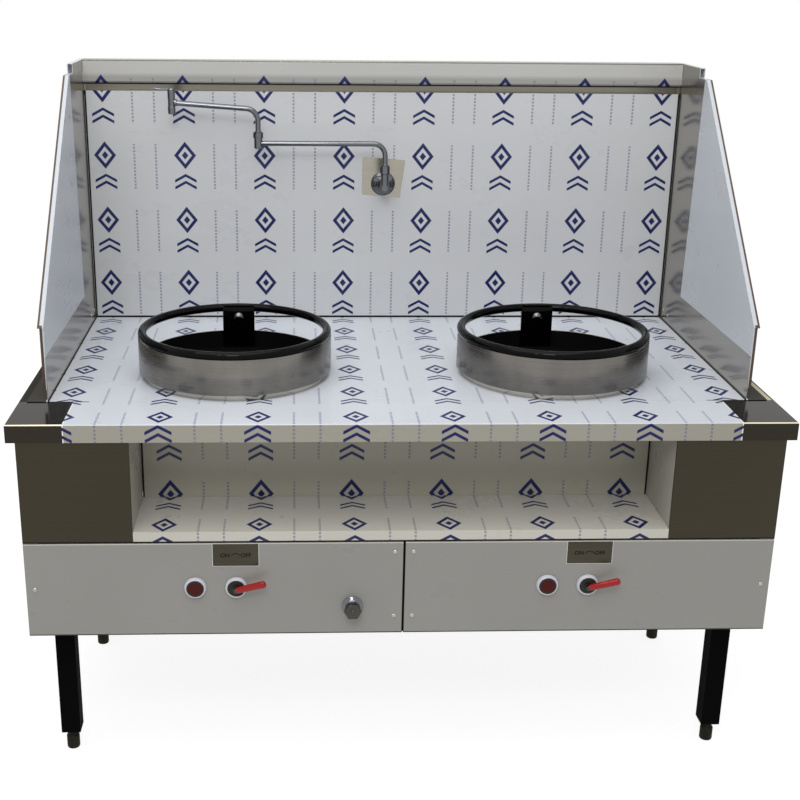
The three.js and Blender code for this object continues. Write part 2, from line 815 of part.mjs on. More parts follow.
/** The splash sheet, folded back at the groove, with upright stiffeners behind it. */
function splashPanel() {
  const outline = [[splashY + grooveDepth, grooveBottom], [splashY, grooveBottom], [splashY, gap]];
  const face = alongX(foldedSection(outline, sheet), -splashHalf, splashHalf);
  const half = stiffenerWidth / 2;
  const channel = shapeOf([
    [-half, 0], [-half + sheet, 0], [-half + sheet, stiffenerDepth - sheet],
    [half - sheet, stiffenerDepth - sheet], [half - sheet, 0], [half, 0], [half, stiffenerDepth],
    [-half, stiffenerDepth],
  ]);
  const stiffeners = [-400, 100, 500].map((x) => alongZ(channel, 20, grooveBottom - 30)
    .translate(x, splashY + sheet - 0.1, 0));
  const tapHole = rod([0, splashY - 5, tapHeight], [0, splashY + 10, tapHeight], 11);
  return cut(join(face, ...stiffeners), tapHole);
}

/** The header: groove wall, nose, front face, top and rear drop, folded from one sheet. */
function splashHeader() {
  const front = splashY - headerProud;
  const wall = splashY + grooveDepth + gap;
  const outline = [
    [wall, grooveBottom - 12], [wall, grooveTop], [front + 6, grooveTop], [front, grooveTop + 7],
    [front, splashHeight], [benchDepth, splashHeight], [benchDepth, splashHeight - headerDrop],
  ];
  return alongX(foldedSection(outline, -sheet), -splashHalf, splashHalf);
}

add(back, 'splash_panel', splashPanel(), brushedSteel);
add(back, 'splash_header', splashHeader(), brushedSteel);

/** A side wing: a plate hemmed along its front and slope, with a channel on top and a flange below. */
function wing(side) {
  const foot = gap;
  const plate = alongX(shapeOf([
    [wingFront, foot], [benchDepth, foot], [benchDepth, splashHeight], [wingStepY, splashHeight],
    [wingStepY, slopeTopHeight], [slopeTopY, slopeTopHeight], [wingFront, wingLow],
  ]), halfWing, halfWing + sheet);
  const strip = (outline, reach) => alongX(
    foldedSection(outline, sheet), halfWing + sheet / 2, halfWing + reach);
  const slope = new THREE.Vector2(slopeTopY - wingFront, slopeTopHeight - wingLow).setLength(hemTip);
  const slopeStrip = strip([
    [wingStepY + sheet, slopeTopHeight], [slopeTopY, slopeTopHeight],
    [wingFront - slope.x, wingLow - slope.y],
  ], slopeHem);
  const frontStrip = strip([[wingFront, wingLow - sheet / 3], [wingFront, hemStart]], frontHem);
  const topChannel = alongY(foldedSection([
    [halfWing + sheet / 2, splashHeight], [halfWing + slopeHem, splashHeight],
    [halfWing + slopeHem, slopeTopHeight - 2 * sheet],
  ], -sheet), wingStepY, benchDepth);
  const flange = block([halfWing + sheet / 2, halfWing + wingFlange], [flangeFront, benchDepth],
    [foot, foot + sheet]);
  const shell = join(plate, slopeStrip, frontStrip, topChannel, flange);
  return side > 0 ? shell : mirrorX(shell);
}

for (const [sideName, side] of sides) add(back, `wing_${sideName}`, wing(side), brushedSteel);

// -------------------------------------------------------------------------------------------------
// Controls
// -------------------------------------------------------------------------------------------------

/** Tapered ring round a control, seated on the panel. */
function bezelRing() {
  return turnedForward([
    [bezelBore, gap], [bezelRadius, gap], [bezelRadius, 2], [bezelMouth + 1, bezelDepth - 1],
    [bezelMouth, bezelDepth], [bezelBore, bezelDepth],
  ], controlSides);
}

/** The button's housing: its ring in front of the panel and a barrel with a nut behind it. */
function buttonHousing() {
  const barrel = controlHole - 0.3;
  const rear = -45;
  const stemBore = 6.4;
  return turnedForward([
    [stemBore, rear], [barrel, rear], [barrel, -sheet - gap - 6], [barrel + 4, -sheet - gap - 6],
    [barrel + 4, -sheet - gap], [barrel, -sheet - gap], [barrel, gap], [bezelRadius, gap], [bezelRadius, 2],
    [bezelMouth + 1, bezelDepth - 1], [bezelMouth, bezelDepth], [bezelBore, bezelDepth], [bezelBore, 0.8],
    [stemBore, 0.8],
  ], controlSides);
}

/** The push button: a low dome with a stem that runs in the housing. */
function pushButton() {
  const under = 0.8 + buttonTravel + gap;
  const stem = 6;
  return turnedForward([
    [0, -35], [stem, -35], [stem, under], [faceRadius, under], [faceRadius, bezelDepth],
    [12, bezelDepth + 1.4], [0, bezelDepth + 2],
  ], controlSides);
}

/** Brass gas valve: an upright body over the manifold, a bonnet to the panel and its round face. */
function gasValve() {
  const bodyY = manifoldY - cabinetFront;
  const bottom = manifoldHeight + manifoldRadius + 10 - controlZ;
  const body = join(
    rod([0, bodyY, bottom], [0, bodyY, 26], 15),
    rod([0, bodyY, 0], [0, -gap, 0], 12.5),
    rod([0, bodyY, 0], [0, bodyY + 20, 0], 10, 6),
    rod([0, -gap, 0], [0, -bezelDepth + 1, 0], faceRadius, controlSides));
  return cut(body, rod([0, 30, 0], [0, -bezelDepth - 1, 0], spindleRadius + swivelClearance));
}

const leverDirection = new THREE.Vector3(
  Math.cos(radians(leverRise)) * Math.cos(radians(leverLean)),
  -Math.sin(radians(leverLean)),
  Math.sin(radians(leverRise)) * Math.cos(radians(leverLean)));
const leverRoot = new THREE.Vector3(0, -bezelDepth - 8, 0);

/** The valve's spindle and the steel rod that the grip is pushed onto. */
function valveSpindle() {
  const tip = leverRoot.clone().addScaledVector(leverDirection, leverLength - 8);
  return join(
    rod([0, 28, 0], [0, leverRoot.y - 4, 0], spindleRadius),
    rod([0, -bezelDepth + 1 - gap, 0], [0, -bezelDepth - 3, 0], spindleRadius + 2.2, 6),
    rod(leverRoot.toArray(), tip.toArray(), leverRodRadius, 8));
}

/** The red grip: a sleeve that thickens to a round end. */
function leverGrip() {
  const bore = leverRodRadius + gap;
  const length = leverLength - sleeveStart;
  const sleeve = turned([
    [bore, 0], [4.8, 0], [5.2, length * 0.45], [6.2, length * 0.8], [6.4, length * 0.88],
    [5.6, length * 0.955], [3.4, length * 0.99], [0, length], [0, length - 7], [bore, length - 7],
  ], rodSides);
  const turn = new THREE.Quaternion().setFromUnitVectors(new THREE.Vector3(0, 0, 1), leverDirection);
  const start = leverRoot.clone().addScaledVector(leverDirection, sleeveStart);
  return sleeve.applyQuaternion(turn).translate(start.x, start.y, start.z);
}

sides.forEach(([sideName], i) => {
  const valve = groupAt(range, valveX[i], cabinetFront, controlZ);
  add(valve, `gas_valve_${sideName}`, gasValve(), blackPaint);
  add(valve, `valve_bezel_${sideName}`, bezelRing(), satinWhite);
  add(valve, `valve_spindle_${sideName}`, valveSpindle(), chrome);
  add(valve, `lever_grip_${sideName}`, leverGrip(), redVinyl);
  const button = groupAt(range, valveX[i] - buttonSpacing, cabinetFront, controlZ);
  add(button, `button_housing_${sideName}`, buttonHousing(), satinWhite);
  add(button, `igniter_button_${sideName}`, pushButton(), darkRed);
  const plateZ = benchHeight - plateDrop;
  add(range, `switch_plate_${sideName}`, block([valveX[i] - plateWidth / 2, valveX[i] + plateWidth / 2],
    [cabinetFront - gap - plateThickness, cabinetFront - gap],
    [plateZ - plateHeight / 2, plateZ + plateHeight / 2]), darkSteel);
});

/** Water valve: a flange and barrel in front of the panel, a lock nut and threaded tail behind it. */
function waterValveBody() {
  const tail = 12;
  const body = turnedForward([
    [0, -40], [tail, -40], [tail, -sheet - gap - 7], [18, -sheet - gap - 7], [18, -sheet - gap],
    [tail, -sheet - gap], [tail, gap], [waterFlange, gap], [waterFlange, 2.5], [16, 5], [13, 9],
    [13, capReach - 11], [0, capReach - 11],
  ], controlSides);
  return cut(body, rod([0, 20, 0], [0, -capReach, 0], spindleRadius + swivelClearance));
}

/** The hexagon cap on the water valve's spindle. */
function waterCap() {
  const acrossCorners = hexAcross / Math.cos(Math.PI / 6) / 2;
  return join(
    rod([0, 18, 0], [0, -capReach + 2, 0], spindleRadius),
    rod([0, -capReach + 11 - gap, 0], [0, -capReach, 0], acrossCorners, 6),
    rod([0, -capReach, 0], [0, -capReach - 2.5, 0], spindleRadius));
}

const water = groupAt(range, waterX, cabinetFront, waterZ);
add(water, 'water_valve_body', waterValveBody(), chrome);
add(water, 'water_valve_cap', waterCap(), darkSteel);

// -------------------------------------------------------------------------------------------------
// Pipes
// -------------------------------------------------------------------------------------------------

/** Gas manifold: along the front under both valves, back to the inlet through the rear panel. */
function gasManifold() {
  const run = pipeRun([
    [valveX[0] - 45, manifoldY, manifoldHeight], [inletX, manifoldY, manifoldHeight],
    [inletX, cabinetBack + inletReach, manifoldHeight],
  ], manifoldRadius);
  const cap = rod([valveX[0] - 50, manifoldY, manifoldHeight], [valveX[0] - 30, manifoldY, manifoldHeight],
    manifoldRadius * 1.25, 6);
  const nipples = valveX.map((x) => rod(
    [x, manifoldY, manifoldHeight], [x, manifoldY, manifoldHeight + manifoldRadius + 10 - gap], 9));
  return join(run, cap, ...nipples);
}

add(range, 'gas_manifold', gasManifold(), galvanised);

/** A burner's pipe: from the valve's outlet back and up to the injector under the mixing tube. */
function burnerPipe(x, ringX) {
  const start = manifoldY + 20 + gap;
  const injectorTop = benchHeight - wellDepth + wellWall - mixerLength - injectorGap;
  const path = bentPath([
    [x, start, controlZ], [x, ringY - pipeOffset, controlZ], [ringX, ringY, controlZ],
    [ringX, ringY, injectorTop],
  ], pipeBend);
  return join(
    roundBar(path, burnerPipeRadius, pipeSides),
    rod([x, start, controlZ], [x, start + 16, controlZ], 10, 6),
    rod([ringX, ringY, injectorTop - 16], [ringX, ringY, injectorTop], 9, 6));
}

sides.forEach(([sideName, side], i) => {
  add(range, `burner_pipe_${sideName}`, burnerPipe(valveX[i], side * ringSpacing / 2), galvanised);
});

/** Copper water pipe: from the valve back through the rear panel, and up behind the splash to the tap. */
function waterPipe() {
  const start = cabinetFront + 40 + gap;
  const tapZ = benchHeight + tapHeight;
  return roundBar(bentPath([
    [waterX, start, waterZ], [waterX, start + 22, waterZ], [waterX, start + 22, waterPipeHeight],
    [waterX, waterPipeY, waterPipeHeight], [waterX, waterPipeY, tapZ],
    [-tapTailRadius - gap, waterPipeY, tapZ],
  ], 16, 3), waterPipeRadius, pipeSides);
}

add(range, 'water_pipe', waterPipe(), copper);

// -------------------------------------------------------------------------------------------------
// Swing tap
// -------------------------------------------------------------------------------------------------

const tap = groupAt(range, 0, splashY, benchHeight + tapHeight);
const swivelBore = tapTube + swivelClearance;

/** Wall body: a cup flange, a conical neck, an upright body and its nut, with a tail behind the sheet. */
function tapBody() {
  const neck = turnedForward([
    [0, gap], [tapFlange, gap], [tapFlange, 5], [tapFlange - 3.5, 10], [13, 18], [11, 26],
    [11, tapReach + 2], [8, tapReach + 8], [0, tapReach + 9],
  ], controlSides);
  const tail = rod([0, -1, 0], [0, cavityY - splashY + tapTailRadius, 0], tapTailRadius);
  const upright = rod([0, -tapReach, -4], [0, -tapReach, nutTop - 18], swivelBodyRadius);
  const groove = rod([0, -tapReach, nutTop - 19], [0, -tapReach, nutTop - 17], swivelBodyRadius - 1);
  const nut = rod([0, -tapReach, nutTop - 17.5], [0, -tapReach, nutTop], nutRadius, controlSides);
  const bore = rod([0, -tapReach, nutTop - 16], [0, -tapReach, nutTop + 1], swivelBore);
  return cut(join(neck, tail, upright, groove, nut), bore);
}

add(tap, 'tap_body', tapBody(), chrome);

const inner = groupAt(tap, 0, -tapReach, 0);
const elbowHeight = innerArmHeight - tapHeight;
const elbowSocket = { bottom: elbowHeight - 12, top: elbowHeight + 12.5, nut: elbowHeight + 25 };

/** Inner arm: a bent tube from the wall body to the elbow's socket and its nut. */
function tapInnerArm() {
  const tube = roundBar(bentPath([
    [0, 0, nutTop - 14], [0, 0, elbowHeight], [-innerArm + 4, 0, elbowHeight],
  ], tapBend), tapTube, tubeSides);
  const collar = rod([0, 0, nutTop + gap], [0, 0, nutTop + 3], tapTube + 2);
  const socket = rod([-innerArm, 0, elbowSocket.bottom], [-innerArm, 0, elbowSocket.top], swivelBodyRadius);
  const nut = rod(
    [-innerArm, 0, elbowSocket.top - 0.5], [-innerArm, 0, elbowSocket.nut], nutRadius, controlSides);
  const bore = rod([-innerArm, 0, elbowSocket.nut - 18], [-innerArm, 0, elbowSocket.nut + 1], swivelBore);
  return cut(join(tube, collar, socket, nut), bore);
}

add(inner, 'tap_inner_arm', tapInnerArm(), chrome);

const outer = groupAt(inner, -innerArm, 0, 0);
const outerHeight = outerArmHeight - tapHeight;
const outletHeight = outerHeight + outerArm * Math.tan(radians(outerArmTilt));

/** Outer arm: a bent tube that turns in the elbow and rises slightly to the outlet. */
function tapOuterArm() {
  const end = outerArm - nozzleRadius - gap;
  const endHeight = outerHeight + end * Math.tan(radians(outerArmTilt));
  const tube = roundBar(bentPath([
    [0, 0, elbowSocket.nut - 16], [0, 0, outerHeight], [-end, 0, endHeight],
  ], tapBend), tapTube, tubeSides);
  const collar = rod([0, 0, elbowSocket.nut + gap], [0, 0, elbowSocket.nut + 3], tapTube + 2);
  return join(tube, collar);
}

/** Outlet: an upright barrel with an open bore below and a seat for its lever on top. */
function tapOutlet() {
  const [low, high] = [nozzleBottom - tapHeight, nozzleTop - tapHeight];
  const waist = outletHeight;
  const barrel = turned([
    [5.6, low], [nozzleRadius - 1, low], [nozzleRadius, low + 1.5], [nozzleRadius, waist - 9],
    [nozzleRadius - 0.7, waist - 8], [nozzleRadius - 0.7, waist + 8], [nozzleRadius, waist + 9],
    [nozzleRadius, high - 1], [nozzleRadius - 1, high], [0, high], [0, waist - 14], [5.6, waist - 14],
  ], rodSides);
  const seat = block(
    [nozzleRadius - 4, nozzleRadius + 3], [-tapTube - 2, tapTube + 2], [waist - 8, waist + 8]);
  const clear = rod([nozzleRadius - 0.2, 0, waist], [nozzleRadius + 5, 0, waist], tapTube + 1, tubeSides);
  const bored = cut(join(barrel, cut(seat, clear)),
    rod([nozzleRadius - 0.5, 0, waist], [nozzleRadius + 6, 0, waist], tapTube + gap, tubeSides));
  return cut(bored, rod([0, 0, high - 8], [0, 0, high + 1], 3.4)).translate(-outerArm, 0, 0);
}

add(outer, 'tap_outer_arm', tapOuterArm(), chrome);
add(outer, 'tap_outlet', tapOutlet(), chrome);

/** The thin lever that turns on top of the outlet. */
function outletLever() {
  const seat = nozzleTop - tapHeight + gap;
  const hub = turned([
    [0, seat - 7], [3, seat - 7], [3, seat], [nozzleRadius - 0.5, seat], [nozzleRadius - 0.5, seat + 3],
    [nozzleRadius - 3, seat + 6], [0, seat + 6],
  ], rodSides);
  const blade = roundBar(bentPath([
    [0, 0, seat + 2.5], [-tapLeverLength * 0.6, 0, seat + 2.5], [-tapLeverLength, 0, seat + 5],
  ], 30, 3), 2, pipeSides);
  return join(hub, blade);
}

const lever = groupAt(outer, -outerArm, 0, 0);
add(lever, 'outlet_lever', outletLever(), chrome);

// -------------------------------------------------------------------------------------------------
// The origin is on the floor, under the middle of the whole range
// -------------------------------------------------------------------------------------------------

range.updateMatrixWorld(true);
const bounds = new THREE.Box3().setFromObject(range, true);
range.position.set(-(bounds.min.x + bounds.max.x) / 2, -(bounds.min.y + bounds.max.y) / 2, 0);
range.updateMatrixWorld(true);

export default range;
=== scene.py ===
"""Looks of a two-burner wok range: filmed and bare steel, black iron, chrome and red grips.

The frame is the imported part's: X to the right, Y to the back, Z up from the floor, in metres.
Profiles of turned pieces, and the sizes that each assembly names, are in millimetres.
"""

import json
import logging
import math
from collections.abc import Callable, Sequence
from dataclasses import dataclass
from enum import Enum

import bmesh
import bpy
from mathutils import Matrix, Vector


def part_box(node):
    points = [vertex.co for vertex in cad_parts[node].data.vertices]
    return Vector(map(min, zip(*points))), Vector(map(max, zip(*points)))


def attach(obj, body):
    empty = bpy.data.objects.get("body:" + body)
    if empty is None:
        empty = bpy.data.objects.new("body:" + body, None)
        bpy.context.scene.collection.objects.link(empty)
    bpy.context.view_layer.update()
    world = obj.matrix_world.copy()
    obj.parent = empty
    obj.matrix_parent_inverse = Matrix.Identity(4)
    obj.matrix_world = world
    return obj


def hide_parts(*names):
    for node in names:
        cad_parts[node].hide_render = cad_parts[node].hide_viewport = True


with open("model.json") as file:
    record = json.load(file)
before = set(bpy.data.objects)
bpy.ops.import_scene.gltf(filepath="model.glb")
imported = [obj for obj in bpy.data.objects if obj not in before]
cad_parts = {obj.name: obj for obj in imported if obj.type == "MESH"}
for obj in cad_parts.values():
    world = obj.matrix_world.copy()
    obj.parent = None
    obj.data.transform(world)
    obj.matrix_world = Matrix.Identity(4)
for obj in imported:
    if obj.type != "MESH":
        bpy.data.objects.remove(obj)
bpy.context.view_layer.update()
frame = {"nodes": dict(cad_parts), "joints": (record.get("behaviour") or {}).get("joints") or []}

log = logging.getLogger("wok_range")

Colour = tuple[float, float, float]
Point = tuple[float, float, float]
Profile = list[tuple[float, float]]

MM = 0.001
KNIFE = 0.6 * MM
MERGE = 0.001 * MM
SHARP_DEGREES = 32
WHITE: Colour = (1.0, 1.0, 1.0)


def srgb(red: float, green: float, blue: float) -> Colour:
    """The linear colour of an sRGB one, whose channels go from 0 to 255."""
    def linear(channel: float) -> float:
        """Undoes the display curve of one channel."""
        value = channel / 255
        return value / 12.92 if value <= 0.04045 else ((value + 0.055) / 1.055) ** 2.4
    return linear(red), linear(green), linear(blue)


def scaled(colour: Colour, factor: float) -> Colour:
    """A colour times a factor, held under white."""
    return tuple(min(channel * factor, 1.0) for channel in colour)


# ---- Shader building ----------------------------------------------------------------------


class Value:
    """An output socket that can be used in arithmetic."""

    def __init__(self, graph: "Graph", socket: bpy.types.NodeSocket) -> None:
        """Wraps a socket of a graph's node."""
        self.graph = graph
        self.socket = socket

    def math(self, operation: str, *others: "Value | float") -> "Value":
        """Adds a Math node that starts from this value."""
        inputs = dict(enumerate((self, *others)))
        return self.graph.add("ShaderNodeMath", {"operation": operation}, inputs)

    def __add__(self, other: "Value | float") -> "Value":
        """This value plus another."""
        return self.math("ADD", other)

    def __sub__(self, other: "Value | float") -> "Value":
        """This value minus another."""
        return self.math("SUBTRACT", other)

    def __mul__(self, other: "Value | float") -> "Value":
        """This value times another."""
        return self.math("MULTIPLY", other)

    def __rsub__(self, other: float) -> "Value":
        """A number minus this value."""
        return self.graph.constant(other).math("SUBTRACT", self)

    __radd__ = __add__
    __rmul__ = __mul__

    def clamped(self) -> "Value":
        """This value held between 0 and 1."""
        return self.math("MAXIMUM", 0.0).math("MINIMUM", 1.0)

    def magnitude(self) -> "Value":
        """This value without its sign."""
        return self.math("ABSOLUTE")

    def either(self, other: "Value | float") -> "Value":
        """The larger of two values."""
        return self.math("MAXIMUM", other)

    def above(self, edge: float, softness: float = 0.5 * MM) -> "Value":
        """A step from 0 under an edge to 1 over it, as wide as its softness."""
        return ((self - edge) * (1 / softness)).clamped()

    def below(self, edge: float, softness: float = 0.5 * MM) -> "Value":
        """A step from 1 under an edge to 0 over it."""
        return 1 - self.above(edge, softness)

    def between(self, low: float, high: float, softness: float = 0.5 * MM) -> "Value":
        """1 where this value lies between two edges, 0 elsewhere."""
        return self.above(low, softness) * self.below(high, softness)

    def repeated(self, pitch: float) -> "Value":
        """This length folded into cells of a pitch, measured from the middle of its cell."""
        return ((self * (1 / pitch)).math("FRACT") - 0.5) * pitch


class Graph:
    """The node tree of one material, or of the world."""

    def __init__(self, owner: bpy.types.Material | bpy.types.World) -> None:
        """Empties the owner's node tree."""
        self.owner = owner
        owner.use_nodes = True
        self.tree = owner.node_tree
        self.tree.nodes.clear()

    def add(self, kind: str, settings: dict | None = None, inputs: dict | None = None,
            output: int | str = 0) -> Value:
        """Adds a node.

        Args:
            kind: The node's type.
            settings: Its settings, which are set first.
            inputs: Values or links of its sockets, by number or name.
            output: The socket that is wanted.

        Returns:
            That output.
        """
        node = self.tree.nodes.new(kind)
        for name, setting in (settings or {}).items():
            setattr(node, name, setting)
        for key, given in (inputs or {}).items():
            if isinstance(given, Value):
                self.tree.links.new(given.socket, node.inputs[key])
            elif isinstance(given, tuple) and node.inputs[key].type == "RGBA":
                node.inputs[key].default_value = (*given, 1)
            else:
                node.inputs[key].default_value = given
        return Value(self, node.outputs[output])

    def constant(self, number: float) -> Value:
        """A number as the first term of a sum."""
        return self.add("ShaderNodeMath", {"operation": "ADD"}, {0: number, 1: 0.0})

    def place(self) -> Value:
        """The point's place in the part's frame, as a vector."""
        return self.add("ShaderNodeTexCoord", output="Object")

    def spot(self) -> "Spot":
        """The point's place, axis by axis."""
        place = self.place()
        return Spot(*(self.add("ShaderNodeSeparateXYZ", inputs={0: place}, output=axis)
                      for axis in "XYZ"))

    def noise(self, scale: Point, detail: float = 3.0, roughness: float = 0.5) -> Value:
        """Noise from 0 to 1 with some waves per metre along each axis."""
        mapped = self.add("ShaderNodeMapping", inputs={"Vector": self.place(), "Scale": scale})
        return self.add("ShaderNodeTexNoise", inputs={
            "Vector": mapped, "Scale": 1.0, "Detail": detail, "Roughness": roughness})

    def mix(self, factor: Value | float, first: Value | Colour, second: Value | Colour) -> Value:
        """Mixes two colours."""
        inputs = {0: factor, 6: first, 7: second}
        return self.add("ShaderNodeMix", {"data_type": "RGBA"}, inputs, output=2)

    def bump(self, height: Value, strength: float, distance: float) -> Value:
        """Turns a height into a normal."""
        inputs = {"Height": height, "Strength": strength, "Distance": distance}
        return self.add("ShaderNodeBump", inputs=inputs)

    def surface(self, **sockets: Value | float | Colour) -> bpy.types.Material:
        """Ends the material in one Principled shader, with _ for a space in sockets' names."""
        inputs = {name.replace("_", " "): given for name, given in sockets.items()}
        return self.ended(self.add("ShaderNodeBsdfPrincipled", inputs=inputs))

    def seen_directly(self) -> Value:
        """1 for camera, glossy and transmission rays, which see a white room, else 0."""
        camera, glossy, clear = (self.add("ShaderNodeLightPath", output=f"Is {ray} Ray")
                                 for ray in ("Camera", "Glossy", "Transmission"))
        return camera.either(glossy).either(clear)

    def ended(self, shader: Value) -> bpy.types.Material | bpy.types.World:
        """Links a shader to the owner's output, and returns the owner."""
        kind = "World" if isinstance(self.owner, bpy.types.World) else "Material"
        output = self.tree.nodes.new(f"ShaderNodeOutput{kind}")
        self.tree.links.new(shader.socket, output.inputs["Surface"])
        return self.owner


# ---- Places taken from the frame ----------------------------------------------------------


class Side(Enum):
    """The two sides of the range, seen from the front."""

    LEFT = "left"
    RIGHT = "right"

    @property
    def sign(self) -> int:
        """-1 on the left, 1 on the right."""
        return -1 if self is Side.LEFT else 1


@dataclass(frozen=True)
class Datum:
    """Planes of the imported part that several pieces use."""

    bench_z: float
    bench_front: float
    splash_y: float
    wing_inner: float
    panel_y: float
    panel_top: float
    panel_foot: float
    panel_split: float

    @classmethod
    def from_frame(cls) -> "Datum":
        """Reads the planes from the CAD nodes."""
        bench_low, bench_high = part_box("bench_top")
        panel_low, panel_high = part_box("front_panel_left")
        next_low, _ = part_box("front_panel_right")
        screw_proud = 2.2 * MM
        return cls(
            bench_z=bench_high[2], bench_front=bench_low[1],
            splash_y=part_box("splash_panel")[0][1], wing_inner=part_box("wing_right")[0][0],
            panel_y=panel_low[1] + screw_proud, panel_top=panel_high[2],
            panel_foot=panel_low[2], panel_split=(panel_high[0] + next_low[0]) / 2)


DATUM = Datum.from_frame()


@dataclass(frozen=True)
class Spot:
    """A point of a surface, and its distances from planes of the range."""

    x: Value
    y: Value
    z: Value

    @property
    def side(self) -> Value:
        """Distance from the middle, to the left or the right."""
        return self.x.magnitude()

    @property
    def depth(self) -> Value:
        """Distance behind the bench's front."""
        return self.y - DATUM.bench_front

    @property
    def behind(self) -> Value:
        """Distance behind the face of the splash sheet."""
        return self.y - DATUM.splash_y

    @property
    def height(self) -> Value:
        """Height over the bench."""
        return self.z - DATUM.bench_z


# ---- Finishes -----------------------------------------------------------------------------


class Grain(Enum):
    """Which way a sheet is brushed, as noise waves per metre along X, Y and Z."""

    ALONG_X = (4.0, 700.0, 700.0)
    ALONG_Y = (700.0, 4.0, 700.0)
    ROUND_Z = (5.0, 5.0, 1100.0)


@dataclass(frozen=True)
class Finish:
    """A surface finish. Its material is made once and shared."""

    name: str

    def material(self) -> bpy.types.Material:
        """The finish as a material, which keeps clear of the CAD materials' names."""
        name = f"look_{self.name}"
        known = bpy.data.materials.get(name)
        return known or self.shade(Graph(bpy.data.materials.new(name)))

    def shade(self, g: Graph) -> bpy.types.Material:
        """Builds the material's nodes."""
        raise NotImplementedError


@dataclass(frozen=True)
class BrushedSteel(Finish):
    """Bare stainless steel with a fine grain."""

    colour: Colour
    grain: Grain = Grain.ALONG_X
    roughness: float = 0.3
    patchiness: float = 0.25
    patch_scale: Point = (5.0, 5.0, 5.0)
    tones: tuple[float, float] = (0.62, 1.45)
    metal: float = 0.9
    grain_tone: float = 0.7

    def shade(self, g: Graph) -> bpy.types.Material:
        """Fine brushing over soft patches."""
        dark, light = (scaled(self.colour, tone) for tone in self.tones)
        grain = g.noise(self.grain.value, 4.0, 0.6)
        patches = g.noise(self.patch_scale, 2.0)
        tone = (grain - 0.5) * self.grain_tone + (patches - 0.5) * (2 * self.patchiness) + 0.5
        return g.surface(
            Base_Color=g.mix(tone.clamped(), dark, light),
            Metallic=self.metal, Normal=g.bump(grain, 0.12, 0.2 * MM),
            Roughness=(grain - 0.5) * 0.25 + (patches - 0.5) * 0.12 + self.roughness)


class PrintPlane(Enum):
    """Which way a filmed sheet faces, for its printed pattern."""

    FRONT = "front"
    BENCH = "bench"
    PLAIN = "plain"


@dataclass(frozen=True)
class FilmPrint:
    """A printed pattern of diamonds over chevrons, with fine dashes between its columns."""

    pitch_across: float = 0.186
    pitch_up: float = 0.152
    diamond_width: float = 0.050
    diamond_height: float = 0.062
    diamond_lift: float = 0.026
    chevron_drop: float = 0.040
    chevron_pitch: float = 0.016
    chevron_thickness: float = 0.0068
    chevron_slope: float = 0.55
    diamond_rings: tuple[float, float, float] = (0.28, 0.62, 1.0)
    ring_softness: float = 0.05
    dash_offset: float = 0.068
    dash_width: float = 0.0038
    dash_pitch: float = 0.0078
    dash_run: float = 0.052

    def marks(self, across: Value, up: Value) -> tuple[Value, Value]:
        """The masks of the motifs and of the dashes, from the places along row and column."""
        v = up.repeated(self.pitch_up)
        side = across.repeated(self.pitch_across).magnitude()
        rise = (v - self.diamond_lift).magnitude()
        reach = side * (2 / self.diamond_width) + rise * (2 / self.diamond_height)
        core, inner, outer = self.diamond_rings
        diamond = reach.between(inner, outer, self.ring_softness).either(
            reach.below(core, self.ring_softness))
        fold = v + side * self.chevron_slope
        lower, upper = (fold.between(low, low + self.chevron_thickness) for low in (
            -self.chevron_drop + step * self.chevron_pitch for step in (0, 1)))
        chevrons = side.below(self.diamond_width / 2) * lower.either(upper)
        line = (side - self.dash_offset).magnitude().below(self.dash_width / 2)
        dashes = line * up.repeated(self.dash_pitch).above(-self.dash_pitch / 6)
        return diamond.either(chevrons), dashes * v.magnitude().below(self.dash_run)


Mask = Callable[[Spot], Value]


@dataclass(frozen=True)
class Touch:
    """A place on a sheet with a colour laid over it; some are the sheet's own marks, others
    painted highlights, shade and reflections.
    """

    where: Mask
    colour: Colour
    on_film: bool = False
    dull: bool = False


